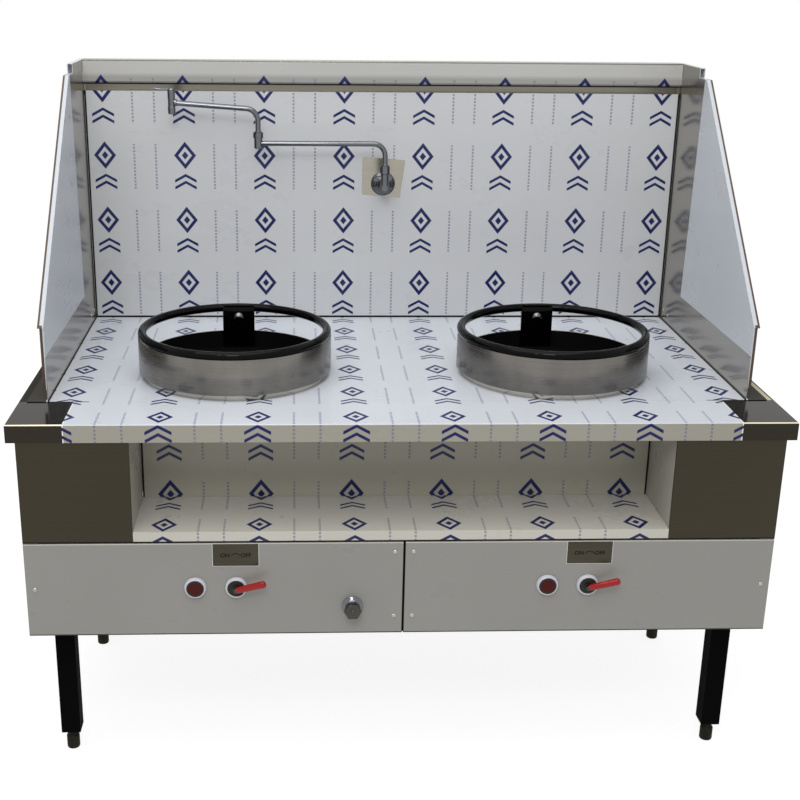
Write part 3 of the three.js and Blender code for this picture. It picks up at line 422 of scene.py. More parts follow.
@dataclass(frozen=True)
class FilmedSteel(Finish):
    """Sheet steel under white protective film, bare where the film was cut away."""

    film: Colour
    steel: Colour
    plane: PrintPlane = PrintPlane.PLAIN
    covered: Mask | None = None
    touches: tuple[Touch, ...] = ()
    edge_height: float = 0.0
    bare_roughness: float = 0.2
    edge_tint: float = 1.0
    ink: Colour = srgb(12, 22, 84)
    dash_ink: Colour = srgb(104, 108, 134)
    film_tones: tuple[float, float] = (0.86, 1.07)
    steel_tones: tuple[float, float] = (0.7, 1.35)
    cloud_scale: Point = (2.2, 2.2, 2.2)
    crease_scale: Point = (9.0, 9.0, 14.0)
    speck_scale: Point = (60.0, 60.0, 60.0)
    metal: float = 0.92
    dull_roughness: float = 0.9

    def shade(self, g: Graph) -> bpy.types.Material:
        """Film with its print and creases, mixed with bare steel."""
        at = g.spot()
        covered = self.covered(at) if self.covered else g.constant(1.0)
        grain = g.noise(Grain.ALONG_X.value, 4.0, 0.6)
        cloud = g.noise(self.cloud_scale, 2.0)
        crease = g.noise(self.crease_scale, 3.0, 0.55)
        speck = g.noise(self.speck_scale, 2.0)
        film = g.mix((cloud * 0.8 + crease * 0.25).clamped(),
                     *(scaled(self.film, tone) for tone in self.film_tones))
        film = self.touched(g, film, at, on_film=True)
        if self.plane is not PrintPlane.PLAIN:
            up = at.z if self.plane is PrintPlane.FRONT else at.y + (at.z - self.edge_height)
            motifs, dashes = FilmPrint().marks(at.x, up)
            film = g.mix(dashes * 0.7, film, self.dash_ink)
            film = g.mix((motifs * (0.93 + speck * 0.12)).clamped(), film, self.ink)
        bare = g.mix((grain * 0.6 + cloud * 0.4).clamped(),
                     *(scaled(self.steel, tone) for tone in self.steel_tones))
        dull = g.constant(0.0)
        for touch in self.touches:
            if touch.dull:
                dull = dull.either(touch.where(at))
        bare_rough = self.bare_roughness + grain * 0.1
        rough = covered * (0.2 + crease * 0.2) + (1 - covered) * bare_rough
        return g.surface(
            Base_Color=self.touched(g, g.mix(covered, bare, film), at, on_film=False),
            Metallic=(1 - covered.either(dull)) * self.metal,
            Specular_IOR_Level=0.3, Specular_Tint=(self.edge_tint,) * 3,
            Roughness=rough.either(dull * self.dull_roughness),
            Normal=g.bump(crease * 0.6 + covered * 0.5 + grain * 0.02, 0.25, 1.2 * MM))

    def touched(self, g: Graph, colour: Value, at: Spot, on_film: bool) -> Value:
        """Lays the touches of one kind over a colour."""
        for touch in self.touches:
            if touch.on_film is on_film:
                colour = g.mix(touch.where(at), colour, touch.colour)
        return colour


@dataclass(frozen=True)
class Paint(Finish):
    """Paint, enamel or moulded plastic with a light orange peel."""

    colour: Colour
    roughness: float = 0.35
    coat: float = 0.0
    peel_scale: float = 260.0
    peel: float = 0.12
    tone: float = 0.25
    specular: float = 0.5
    patch_scale: Point = (9.0, 9.0, 9.0)
    coat_roughness: float = 0.06

    def shade(self, g: Graph) -> bpy.types.Material:
        """Colour with slow patches and fine peel."""
        patches = g.noise(self.patch_scale, 3.0)
        peel = g.noise((self.peel_scale,) * 3, 2.0)
        dark, light = (scaled(self.colour, 1 + tone) for tone in (-self.tone, self.tone))
        return g.surface(
            Base_Color=g.mix(patches, dark, light), Coat_Weight=self.coat,
            Coat_Roughness=self.coat_roughness, Specular_IOR_Level=self.specular,
            Normal=g.bump(peel, self.peel, 0.4 * MM),
            Roughness=(patches * 0.4 + 0.8) * self.roughness)


@dataclass(frozen=True)
class CastIron(Finish):
    """Rough black casting with a little scale."""

    colour: Colour = srgb(16, 15, 15)
    rust: Colour = srgb(52, 34, 24)
    rust_start: float = 0.52
    grain_scale: float = 420.0
    patch_scale: float = 18.0
    specular: float = 0.2

    def shade(self, g: Graph) -> bpy.types.Material:
        """Coarse grain with rusty specks."""
        grain = g.noise((self.grain_scale,) * 3, 4.0, 0.65)
        patches = g.noise((self.patch_scale,) * 3, 3.0)
        rusty = (patches - self.rust_start).either(0.0) * 2.0
        return g.surface(
            Base_Color=g.mix(rusty, self.colour, self.rust), Roughness=grain * 0.3 + 0.5,
            Specular_IOR_Level=self.specular, Normal=g.bump(grain, 0.5, 0.6 * MM))


@dataclass(frozen=True)
class Plating(Finish):
    """Chrome, zinc or copper: a bright metal with faint smears."""

    colour: Colour
    roughness: float = 0.06
    smear: float = 0.1
    scale: float = 35.0
    dark_tone: float = 0.8

    def shade(self, g: Graph) -> bpy.types.Material:
        """A polished metal whose roughness drifts."""
        smears = g.noise((self.scale,) * 3, 3.0, 0.6)
        return g.surface(
            Base_Color=g.mix(smears, scaled(self.colour, self.dark_tone), self.colour),
            Metallic=1.0, Roughness=smears * self.smear + self.roughness,
            Normal=g.bump(smears, 0.03, 0.3 * MM))


@dataclass(frozen=True)
class Spangle(Finish):
    """Galvanised sheet with its crystal pattern."""

    colour: Colour = srgb(140, 143, 146)
    cells: float = 70.0
    dark_tone: float = 0.75
    metal: float = 0.75

    def shade(self, g: Graph) -> bpy.types.Material:
        """Cells of zinc in slightly different greys."""
        cells = g.add("ShaderNodeTexVoronoi",
                      inputs={"Vector": g.place(), "Scale": self.cells}, output="Color")
        grey = g.add("ShaderNodeSeparateColor", inputs={0: cells})
        return g.surface(
            Base_Color=g.mix(grey, scaled(self.colour, self.dark_tone), self.colour),
            Metallic=self.metal, Roughness=grey * 0.2 + 0.35,
            Normal=g.bump(grey, 0.05, 0.2 * MM))


# ---- Where the film lies ------------------------------------------------------------------


@dataclass(frozen=True)
class FilmLayout:
    """Edges of the film on each sheet, as distances from the planes of the frame."""

    bench_half: float = 0.643
    bench_step: float = 0.134
    bench_wide: float = 0.690
    bench_back: float = 0.80
    cut_half: float = 0.612
    cut_depth: tuple[float, float] = (0.1325, 0.136)
    margin: float = 0.710
    strip: tuple[float, float] = (0.7355, 0.7445)
    turn: float = 0.010
    hem: float = 0.012
    edge: float = 0.0044
    wing_front: float = 0.137
    slope_end: float = 0.620
    wing_bottom: float = 0.090
    wing_rear_low: float = 0.630
    wing_rear_slant: float = 0.056
    joint_depth: float = 0.0002
    flange: float = 0.003
    splash_top: float = 0.538
    tap_window: tuple[float, float, float, float] = (-0.050, 0.041, 0.296, 0.386)
    window_slant: float = 0.13
    window_tilt: float = 0.08
    header_film: tuple[float, float] = (0.556, 0.604)
    header_shade_top: float = 0.569
    header_line_drop: float = 0.0035
    header_proud: float = 0.006
    header_depth: float = 0.010
    nose_foot: float = 0.560
    nose_slant: float = 6 / 7
    half_sheet: float = 0.0006
    cheek_wrap: float = 0.004
    seam: float = 0.0045
    fold: float = 0.0022
    recess_half: float = 0.522
    shelf_drop: float = 0.223

    def bench(self, at: Spot) -> Value:
        """Film on the bench: a strip over the apron, wider behind the front corners."""
        front = at.side.below(self.bench_half) * at.depth.below(self.bench_step)
        rear = at.side.below(self.bench_wide) * at.depth.between(self.bench_step, self.bench_back)
        cut = at.side.above(self.cut_half) * at.depth.between(*self.cut_depth)
        return front.either(rear) * (1 - cut)

    def apron_painted_shade(self, at: Spot) -> Value:
        """The bench's front face, whose film is painted darker as the shade of an upright face
        under light from above.
        """
        return at.depth.below(self.fold) * at.height.below(-2 * MM)

    def bench_painted_highlight(self, at: Spot) -> Value:
        """A painted highlight along the fold of the bare corners of the bench's front."""
        fold = at.depth.below(self.fold) * at.height.above(-self.fold)
        return fold * at.side.above(self.bench_half)

    def bench_skirt(self, at: Spot) -> Value:
        """The bench's folded sides and back."""
        return at.height.below(-self.fold) * at.depth.above(self.turn)

    def bench_dark_reflection(self, at: Spot) -> Value:
        """A painted dark reflection on the bare steel beside the wings' flanges."""
        return at.side.above(self.margin) * at.depth.above(self.bench_step)

    def bench_strip(self, at: Spot) -> Value:
        """A pale strip between the right wing's flange and the bench's edge."""
        return at.x.between(*self.strip) * at.depth.above(self.bench_step)

    def bench_rim(self, at: Spot) -> Value:
        """The lifted edge of the film beside the bare corners."""
        edge = at.side.between(self.bench_half - self.edge / 2, self.bench_half, KNIFE)
        return edge * at.depth.below(self.bench_step)

    def wing(self, at: Spot) -> Value:
        """Film on a wing: all but the foot and a slanting strip at the back of its inner face."""
        slant = at.depth + at.height * self.wing_rear_slant
        inner = at.height.above(self.wing_bottom) * slant.below(self.wing_rear_low)
        return inner.either(at.side.above(DATUM.wing_inner + self.half_sheet))

    def wing_edge(self, at: Spot) -> Value:
        """The thin dark edge of a wing's sloped hem, and the outer part of its front hem."""
        out = at.side - DATUM.wing_inner
        slope = out.above(self.hem - self.edge) * at.depth.below(self.slope_end)
        front = out.above(self.edge / 2) * at.depth.below(self.wing_front + self.fold)
        return slope.either(front) * at.height.above(self.turn)

    def wing_foot(self, at: Spot) -> Value:
        """The dull band along the foot of a wing's inner face."""
        inner = at.side.below(DATUM.wing_inner + self.half_sheet)
        return inner * at.height.below(self.seam)

    def wing_joint(self, at: Spot) -> Value:
        """The dark joint between a wing and the splash sheet."""
        inner = at.side.below(DATUM.wing_inner + self.joint_depth, self.joint_depth)
        return inner * at.behind.between(-self.seam, 0.0)

    def wing_flange(self, at: Spot) -> Value:
        """The flange that lies on the bench."""
        return at.side.above(DATUM.wing_inner + self.flange) * at.height.below(self.flange)

    def splash(self, at: Spot) -> Value:
        """Film on the splash sheet, with a window behind the tap."""
        left, right, low, high = self.tap_window
        slanted = at.x - (at.height - low) * self.window_slant
        tilted = at.height + at.x * self.window_tilt
        window = at.x.above(left) * slanted.below(right) * tilted.between(low, high, KNIFE)
        return self.splash_front(at) * at.height.below(self.splash_top) * (1 - window)

    def splash_front(self, at: Spot) -> Value:
        """The front face of the splash sheet."""
        return at.behind.below(self.half_sheet)

    def splash_seams(self, at: Spot) -> Value:
        """Dark joints at the foot and the sides of the splash sheet."""
        foot = at.height.below(self.seam)
        sides = at.side.above(DATUM.wing_inner - self.seam)
        return self.splash_front(at) * foot.either(sides)

    def header(self, at: Spot) -> Value:
        """Film on the front of the header's nose, which slants in below its foot."""
        slant = (self.nose_foot - at.height).either(0.0) * self.nose_slant
        face = (at.behind - slant).below(self.half_sheet - self.header_proud)
        return face * at.height.between(*self.header_film)

    def header_shade(self, at: Spot) -> Value:
        """Painted shade on the film where the header bends in."""
        return at.height.below(self.header_shade_top, self.turn) * 0.8

    def header_line(self, at: Spot) -> Value:
        """Dark line under the film of the header."""
        low = self.header_film[0]
        line = at.height.between(low - self.header_line_drop, low, KNIFE)
        return at.behind.below(self.header_depth) * line

    def recess_seams(self, at: Spot) -> Value:
        """Dark joints at the sides of the recess."""
        return at.side.above(self.recess_half - self.seam)

    def cheek(self, at: Spot) -> Value:
        """Film on the side walls of the recess, and none on the cheeks' faces."""
        return (at.y - DATUM.panel_y).above(self.cheek_wrap)

    def over_panel(self, at: Spot) -> Value:
        """The dark joint where a cheek or the shelf meets the front panels."""
        return at.z.below(DATUM.panel_top + self.seam)

    def panel_split(self, at: Spot) -> Value:
        """The dark edges where the two front panels meet."""
        return (at.x - DATUM.panel_split).magnitude().below(self.fold)

    def panel_painted_highlight(self, at: Spot) -> Value:
        """A painted highlight along the upper fold of a front panel."""
        return at.z.above(DATUM.panel_top - self.fold)

    def panel_foot(self, at: Spot) -> Value:
        """The dark lower edge of a front panel."""
        return at.z.below(DATUM.panel_foot + self.fold)


FILM = FilmLayout()

BARE_DARK = srgb(62, 58, 48)
JOINT = srgb(10, 10, 9)

FINISHES: dict[str, Finish] = {
    "bench_top": FilmedSteel(
        "bench_sheet", srgb(208, 212, 219), srgb(50, 47, 40), PrintPlane.BENCH, FILM.bench,
        # Painted shade: the apron's film is the same film as the top, darkened for a face turned
        # from the light above.
        (Touch(FILM.apron_painted_shade, srgb(158, 154, 143), on_film=True),
         # Painted highlight: a warm bright colour along the front fold of the bare corners.
         Touch(FILM.bench_painted_highlight, srgb(250, 240, 214)),
         Touch(FILM.bench_rim, srgb(236, 238, 241), on_film=True),
         # Painted reflection: a dull near-black stands for the dark surroundings mirrored in the
         # steel beside the flanges.
         Touch(FILM.bench_dark_reflection, srgb(42, 39, 34), dull=True),
         Touch(FILM.bench_strip, srgb(204, 194, 166), dull=True),
         Touch(FILM.bench_skirt, srgb(112, 109, 102))),
        edge_height=DATUM.bench_z, bare_roughness=0.1, edge_tint=0.8),
    "splash_panel": FilmedSteel(
        "splash_sheet", srgb(203, 204, 206), srgb(163, 158, 146), PrintPlane.FRONT, FILM.splash,
        (Touch(FILM.splash_seams, JOINT, dull=True),)),
    "splash_header": FilmedSteel(
        "header_sheet", srgb(188, 187, 184), srgb(126, 122, 112), PrintPlane.FRONT, FILM.header,
        # Painted shade: darker film along the header's lower bend.
        (Touch(FILM.header_shade, srgb(148, 146, 141), on_film=True),
         Touch(FILM.header_line, JOINT, dull=True))),
    "wing": FilmedSteel(
        "wing_sheet", srgb(201, 206, 212), srgb(164, 160, 152), PrintPlane.PLAIN, FILM.wing,
        (Touch(FILM.wing_edge, srgb(84, 64, 52)),
         Touch(FILM.wing_flange, srgb(60, 57, 51), dull=True),
         Touch(FILM.wing_foot, srgb(92, 89, 80), dull=True),
         Touch(FILM.wing_joint, JOINT, dull=True)),
        bare_roughness=0.14),
    "recess_back": FilmedSteel(
        "recess_sheet", srgb(176, 172, 158), BARE_DARK, PrintPlane.FRONT,
        touches=(Touch(FILM.recess_seams, JOINT, dull=True),)),
    "shelf": FilmedSteel(
        "shelf_sheet", srgb(202, 198, 188), BARE_DARK, PrintPlane.BENCH,
        touches=(Touch(FILM.over_panel, JOINT, dull=True),),
        edge_height=DATUM.bench_z - FILM.shelf_drop),
    "cheek": FilmedSteel(
        "cheek_sheet", srgb(176, 173, 162), BARE_DARK, PrintPlane.PLAIN, FILM.cheek,
        (Touch(FILM.over_panel, JOINT, dull=True),), bare_roughness=0.3),
    "front_panel": FilmedSteel(
        "panel_sheet", srgb(149, 147, 142), BARE_DARK,
        # Painted highlight along each front panel's upper fold.
        touches=(Touch(FILM.panel_painted_highlight, srgb(196, 192, 184)),
                 Touch(FILM.panel_foot, srgb(44, 42, 38)),
                 Touch(FILM.panel_split, JOINT, dull=True))),
    "side_panel": BrushedSteel("side_sheet", srgb(96, 92, 84), Grain.ALONG_Y, 0.32),
    "rear_panel": Spangle("rear_sheet"),
    "frame": Paint("frame_black", srgb(8, 8, 8), 0.8, specular=0.03),
    "well": Paint("well_black", srgb(3, 3, 3), 0.7, 0.0, 500.0, 0.3, specular=0.05),
    "rim": Paint("rim_gloss_black", srgb(3, 3, 3), 0.07, 0.0, 120.0, 0.04, specular=0.1),
    # The two rings are the same steel. Their tones differ, with the right one darker, to paint the
    # different reflections each shows.
    "ring_left": BrushedSteel(
        "ring_steel_left_painted_reflection", srgb(121, 118, 113), Grain.ROUND_Z, 0.26, 0.55, (14.0, 14.0, 5.0)),
    "ring_right": BrushedSteel(
        "ring_steel_right_painted_reflection", srgb(110, 107, 103), Grain.ROUND_Z, 0.26, 0.55, (14.0, 14.0, 5.0)),
    # The collar is painted pale. The tone stands for the white bench it reflects, where it sits in
    # the shroud's shade.
    "collar": BrushedSteel(
        "collar_steel_painted_reflection", srgb(188, 184, 174), Grain.ROUND_Z, 0.16, 0.5, (8.0, 8.0, 1.0)),
    "iron": CastIron("cast_iron"),
    "chrome": Plating("chrome", srgb(112, 114, 118)),
    "zinc": Plating("zinc", srgb(112, 113, 114), 0.3, 0.2, 60.0),
    "foot": Plating("greasy_steel", srgb(50, 47, 40), 0.5, 0.5, 90.0),
    "screw": Plating("screw", srgb(186, 184, 172), 0.25, 0.15, 120.0),
    "copper": Plating("copper", srgb(176, 108, 74), 0.22, 0.2),
    "brass": Plating("brass", srgb(160, 128, 68), 0.3, 0.2),
    "bezel": Paint("bezel_white", srgb(196, 198, 206), 0.25, 0.2, 300.0, 0.03, 0.06),
    "face": Paint("valve_face", srgb(44, 45, 42), 0.5, specular=0.15),
    "button": Paint("button_red", srgb(70, 16, 10), 0.35, 0.0, 200.0, 0.02, specular=0.15),
    "vinyl": Paint("grip_vinyl", srgb(152, 8, 10), 0.3, 0.12, 180.0, 0.05, 0.12, specular=0.3),
    "plate": BrushedSteel("plate_steel", srgb(68, 64, 54)),
    "lip": Paint("film_edge", srgb(206, 206, 202), 0.35, 0.0, 300.0, 0.05, 0.05),
    "etch": Paint("etched_ink", srgb(16, 15, 14), 0.6, specular=0.1),
    "nickel": Plating("dark_nickel", srgb(78, 76, 70), 0.2, 0.15),
    "weld": Plating("weld", srgb(96, 84, 70), 0.35, 0.2, 200.0),
}


# ---- Mesh building ------------------------------------------------------------------------


class Workpiece:
    """A mesh under construction, in the frame of the part."""

    def __init__(self) -> None:
        """Starts from nothing."""
        self.bm = bmesh.new()

    @classmethod
    def turned(cls, profile: Profile, steps: int, sweep: float = math.tau) -> "Workpiece":
        """Spins a profile about the Z axis.

        Args:
            profile: Radius and height of each corner. One that keeps off the axis at both ends
                is closed into a ring.
            steps: Steps round the sweep.
            sweep: The angle of the sweep, from the X axis.

        Returns:
            The turned piece, with flat ends unless the sweep is full.
        """
        work = cls()
        bm = work.bm
        verts = [bm.verts.new((radius * MM, 0, height * MM)) for radius, height in profile]
        pairs = list(zip(verts, verts[1:]))
        if profile[0][0] > 0 and profile[-1][0] > 0:
            pairs.append((verts[-1], verts[0]))
        edges = [bm.edges.new(pair) for pair in pairs]
        full = sweep == math.tau
        bmesh.ops.spin(bm, geom=verts + edges, cent=(0, 0, 0), axis=(0, 0, 1), angle=sweep,
                       steps=steps, use_merge=full, use_duplicate=False)
        return work.sealed() if full else work.capped()

    @classmethod
    def block(cls, low: Point, high: Point) -> "Workpiece":
        """A box between two corners, in metres."""
        work = cls()
        size = [b - a for a, b in zip(low, high)]
        centre = [(a + b) / 2 for a, b in zip(low, high)]
        bmesh.ops.create_cube(work.bm, size=1.0, matrix=Matrix.Translation(centre)
                              @ Matrix.Diagonal((*size, 1)))
        return work

    @classmethod
    def ball(cls, radius: float, squash: Point, segments: int) -> "Workpiece":
        """A ball that is squashed along its axes."""
        work = cls()
        bmesh.ops.create_uvsphere(work.bm, u_segments=segments, v_segments=segments // 2,
                                  radius=radius * MM, matrix=Matrix.Diagonal((*squash, 1)))
        return work

    @classmethod
    def bar(cls, path: Sequence[Sequence[float]], radius: float, sides: int) -> "Workpiece":
        """A round bar with flat ends along a path in metres."""
        curve = bpy.data.curves.new("path", "CURVE")
        curve.dimensions = "3D"
        curve.bevel_depth = radius * MM
        curve.bevel_resolution = sides // 4
        curve.use_fill_caps = True
        spline = curve.splines.new("POLY")
        spline.points.add(len(path) - 1)
        for point, place in zip(spline.points, path):
            point.co = (*place, 1)
        return cls.from_curve(curve)

    @classmethod
    def from_curve(cls, curve: bpy.types.Curve) -> "Workpiece":
        """Turns a curve or text into a mesh, and forgets the curve."""
        carrier = bpy.data.objects.new("carrier", curve)
        bpy.context.scene.collection.objects.link(carrier)
        depsgraph = bpy.context.evaluated_depsgraph_get()
        mesh = bpy.data.meshes.new_from_object(carrier.evaluated_get(depsgraph))
        work = cls()
        work.bm.from_mesh(mesh)
        bpy.data.objects.remove(carrier)
        bpy.data.curves.remove(curve)
        bpy.data.meshes.remove(mesh)
        return work.sealed()

    @classmethod
    def copied(cls, node: str, whole_faces: bool = True) -> "Workpiece":
        """A merged copy of a CAD node's mesh.

        Args:
            node: The CAD node.
            whole_faces: Whether its flat faces are made whole, which suits sheets but not
                pierced tubes.

        Returns:
            The copy.
        """
        work = cls()
        bm = work.bm
        bm.from_mesh(frame["nodes"][node].data)
        bmesh.ops.remove_doubles(bm, verts=bm.verts, dist=10 * MERGE)
        if whole_faces:
            bmesh.ops.dissolve_limit(bm, angle_limit=math.radians(1), verts=bm.verts,
                                     edges=bm.edges)
        return work

    def sealed(self) -> "Workpiece":
        """Merges doubles and turns the faces outwards."""
        bmesh.ops.remove_doubles(self.bm, verts=self.bm.verts, dist=MERGE)
        bmesh.ops.recalc_face_normals(self.bm, faces=self.bm.faces)
        return self

    def capped(self) -> "Workpiece":
        """Closes the open ends."""
        rims = [edge for edge in self.bm.edges if edge.is_boundary]
        bmesh.ops.holes_fill(self.bm, edges=rims, sides=0)
        return self.sealed()

    def eased(self, width: float, segments: int = 2) -> "Workpiece":
        """Bevels the sharp edges by a width, with some faces across the bevel."""
        sharp = math.radians(SHARP_DEGREES)
        edges = [edge for edge in self.bm.edges
                 if edge.is_manifold and edge.calc_face_angle(0) > sharp]
        bmesh.ops.bevel(self.bm, geom=edges, offset=width * MM, offset_type="OFFSET",
                        affect="EDGES", segments=segments, profile=0.5, clamp_overlap=True,
                        material=-1)
        return self

    def with_matrix(self, matrix: Matrix) -> "Workpiece":
        """Turns the piece about the origin."""
        bmesh.ops.rotate(self.bm, verts=self.bm.verts, cent=(0, 0, 0), matrix=matrix)
        return self

    def rotated(self, degrees: float, axis: str) -> "Workpiece":
        """Turns the piece about an axis through the origin."""
        return self.with_matrix(Matrix.Rotation(math.radians(degrees), 3, axis))

    def turned_forward(self) -> "Workpiece":
        """Lays a piece turned about Z over, so that its top points to the front."""
        return self.rotated(90, "X")

    def moved(self, place: Sequence[float]) -> "Workpiece":
        """Shifts the piece, in metres."""
        bmesh.ops.translate(self.bm, verts=self.bm.verts, vec=Vector(place))
        return self

    def joined(self, *others: "Workpiece") -> "Workpiece":
        """Adds other pieces' faces to this one."""
        for other in others:
            mesh = bpy.data.meshes.new("joined")
            other.bm.to_mesh(mesh)
            self.bm.from_mesh(mesh)
            bpy.data.meshes.remove(mesh)
        return self

    def finished(self, name: str, finish: str, *nodes: str, body: str = "range",
                 smooth_under: float = 38, flat_over: float = math.inf) -> None:
        """Makes the object, dresses it and sets it on its body.

        Args:
            name: The piece's name.
            finish: Its finish.
            *nodes: CAD nodes that it replaces.
            body: The CAD body that carries it.
            smooth_under: Edges flatter than this are shaded smooth, in degrees.
            flat_over: Faces wider than this are shaded flat.
        """
        limit = math.radians(smooth_under)
        for face in self.bm.faces:
            width = face.calc_area() / max(edge.calc_length() for edge in face.edges)
            face.smooth = width < flat_over * MM
        for edge in self.bm.edges:
            edge.smooth = edge.is_manifold and edge.calc_face_angle(math.pi) < limit
        mesh = bpy.data.meshes.new(name)
        self.bm.to_mesh(mesh)
        self.bm.free()
        mesh.materials.append(FINISHES[finish].material())
        piece = bpy.data.objects.new(name, mesh)
        bpy.context.scene.collection.objects.link(piece)
        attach(piece, body)
        if nodes:
            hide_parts(*nodes)
        log.info("%s rides on %s, %d faces", name, body, len(mesh.polygons))


def rounded_path(corners: Sequence[Sequence[float]], bend: float) -> list[Vector]:
    """Rounds the inner corners of a path in metres with a bend radius, in millimetres."""
    step, radius = 6, bend * MM
    points = [Vector(corner) for corner in corners]
    path = [points[0]]
    for before, corner, after in zip(points, points[1:], points[2:]):
        into = (corner - before).normalized()
        out = (after - corner).normalized()
        turn = into.angle(out)
        inward = (out - into * out.dot(into)).normalized()
        start = corner - into * (radius * math.tan(turn / 2))
        count = max(2, round(math.degrees(turn) / step))
        for k in range(count + 1):
            angle = turn * k / count
            path.append(start + into * (radius * math.sin(angle))
                        + inward * (radius * (1 - math.cos(angle))))
    path.append(points[-1])
    return path


def centre_of(node: str) -> Vector:
    """The middle of a CAD node's box."""
    low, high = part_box(node)
    return (Vector(low) + Vector(high)) / 2


def on_panel(node: str) -> Vector:
    """Where the axis of a CAD node meets the face of the front panels."""
    middle = centre_of(node)
    return Vector((middle.x, DATUM.panel_y, middle.z))


# ---- Sub-assemblies -----------------------------------------------------------------------


@dataclass
class SheetWork:
    """Bench, splashback, wings and cabinet: folded sheets with eased edges and their film."""

    sheet_ease: float = 0.35
    frame_ease: float = 1.2
    flat_over: float = 2.0
    weld_radius: float = 3.2
    weld_lift: float = 1.2
    weld_depths: tuple[float, ...] = (204, 312, 430, 544)
    rivet_radius: float = 4.0
    rivet_places: tuple[tuple[float, float], ...] = ((26, 25), (66, 23))

    def build(self) -> None:
        """Dresses every sheet and frame node."""
        self.sheets()
        self.frames()
        self.welds()
        self.rivets()

    def sheets(self) -> None:
        """Sheets with a knife-edge fold get a fine bevel and their own finish."""
        single = ("bench_top", "splash_panel", "splash_header", "recess_back", "shelf",
                  "rear_panel")
        paired = ("wing", "cheek", "front_panel", "side_panel")
        nodes = [(node, node) for node in single]
        nodes += [(f"{kind}_{side.value}", kind) for kind in paired for side in Side]
        for node, kind in nodes:
            work = Workpiece.copied(node).eased(self.sheet_ease)
            work.finished(f"{node}_sheet", kind, node, smooth_under=31, flat_over=self.flat_over)

    def frames(self) -> None:
        """Black square tube of the legs and rails."""
        legs = [f"leg_{row}_{side.value}" for row in ("front", "rear") for side in Side]
        for node in ("top_frame", "lower_frame", *legs):
            work = Workpiece.copied(node, whole_faces=False).eased(self.frame_ease, 3)
            work.finished(f"{node}_tube", "frame", node, smooth_under=31,
                          flat_over=self.flat_over)

    def welds(self) -> None:
        """Tack welds along the foot of each wing."""
        for side in Side:
            dots = Workpiece()
            for depth in self.weld_depths:
                dot = Workpiece.ball(self.weld_radius, (0.8, 1.3, 0.5), 16)
                dots.joined(dot.moved((side.sign * (DATUM.wing_inner - self.weld_lift * MM),
                                       DATUM.bench_front + depth * MM,
                                       DATUM.bench_z + self.weld_lift * MM)))
            dots.finished(f"wing_welds_{side.value}", "weld")

    def rivets(self) -> None:
        """Two dome rivets low in the rear corner of each wing's inner face."""
        for side in Side:
            pair = Workpiece()
            for forward, height in self.rivet_places:
                dome = Workpiece.ball(self.rivet_radius, (0.55, 1, 1), 24)
                pair.joined(dome.moved((side.sign * DATUM.wing_inner,
                                        DATUM.splash_y - forward * MM,
                                        DATUM.bench_z + height * MM)))
            pair.finished(f"wing_rivets_{side.value}", "screw")


@dataclass
class SidedAssembly:
    """Pieces that stand alike on both sides of the range."""

    side: Side

    def named(self, piece: str) -> str:
        """A piece's or node's name with its side."""
        return f"{piece}_{self.side.value}"

    def fit(self, work: Workpiece, piece: str, finish: str, *nodes: str, body: str = "range",
            smooth_under: float = 38) -> None:
        """Finishes a piece of this side, which replaces nodes of this side."""
        work.finished(self.named(piece), finish, *map(self.named, nodes), body=body,
                      smooth_under=smooth_under)


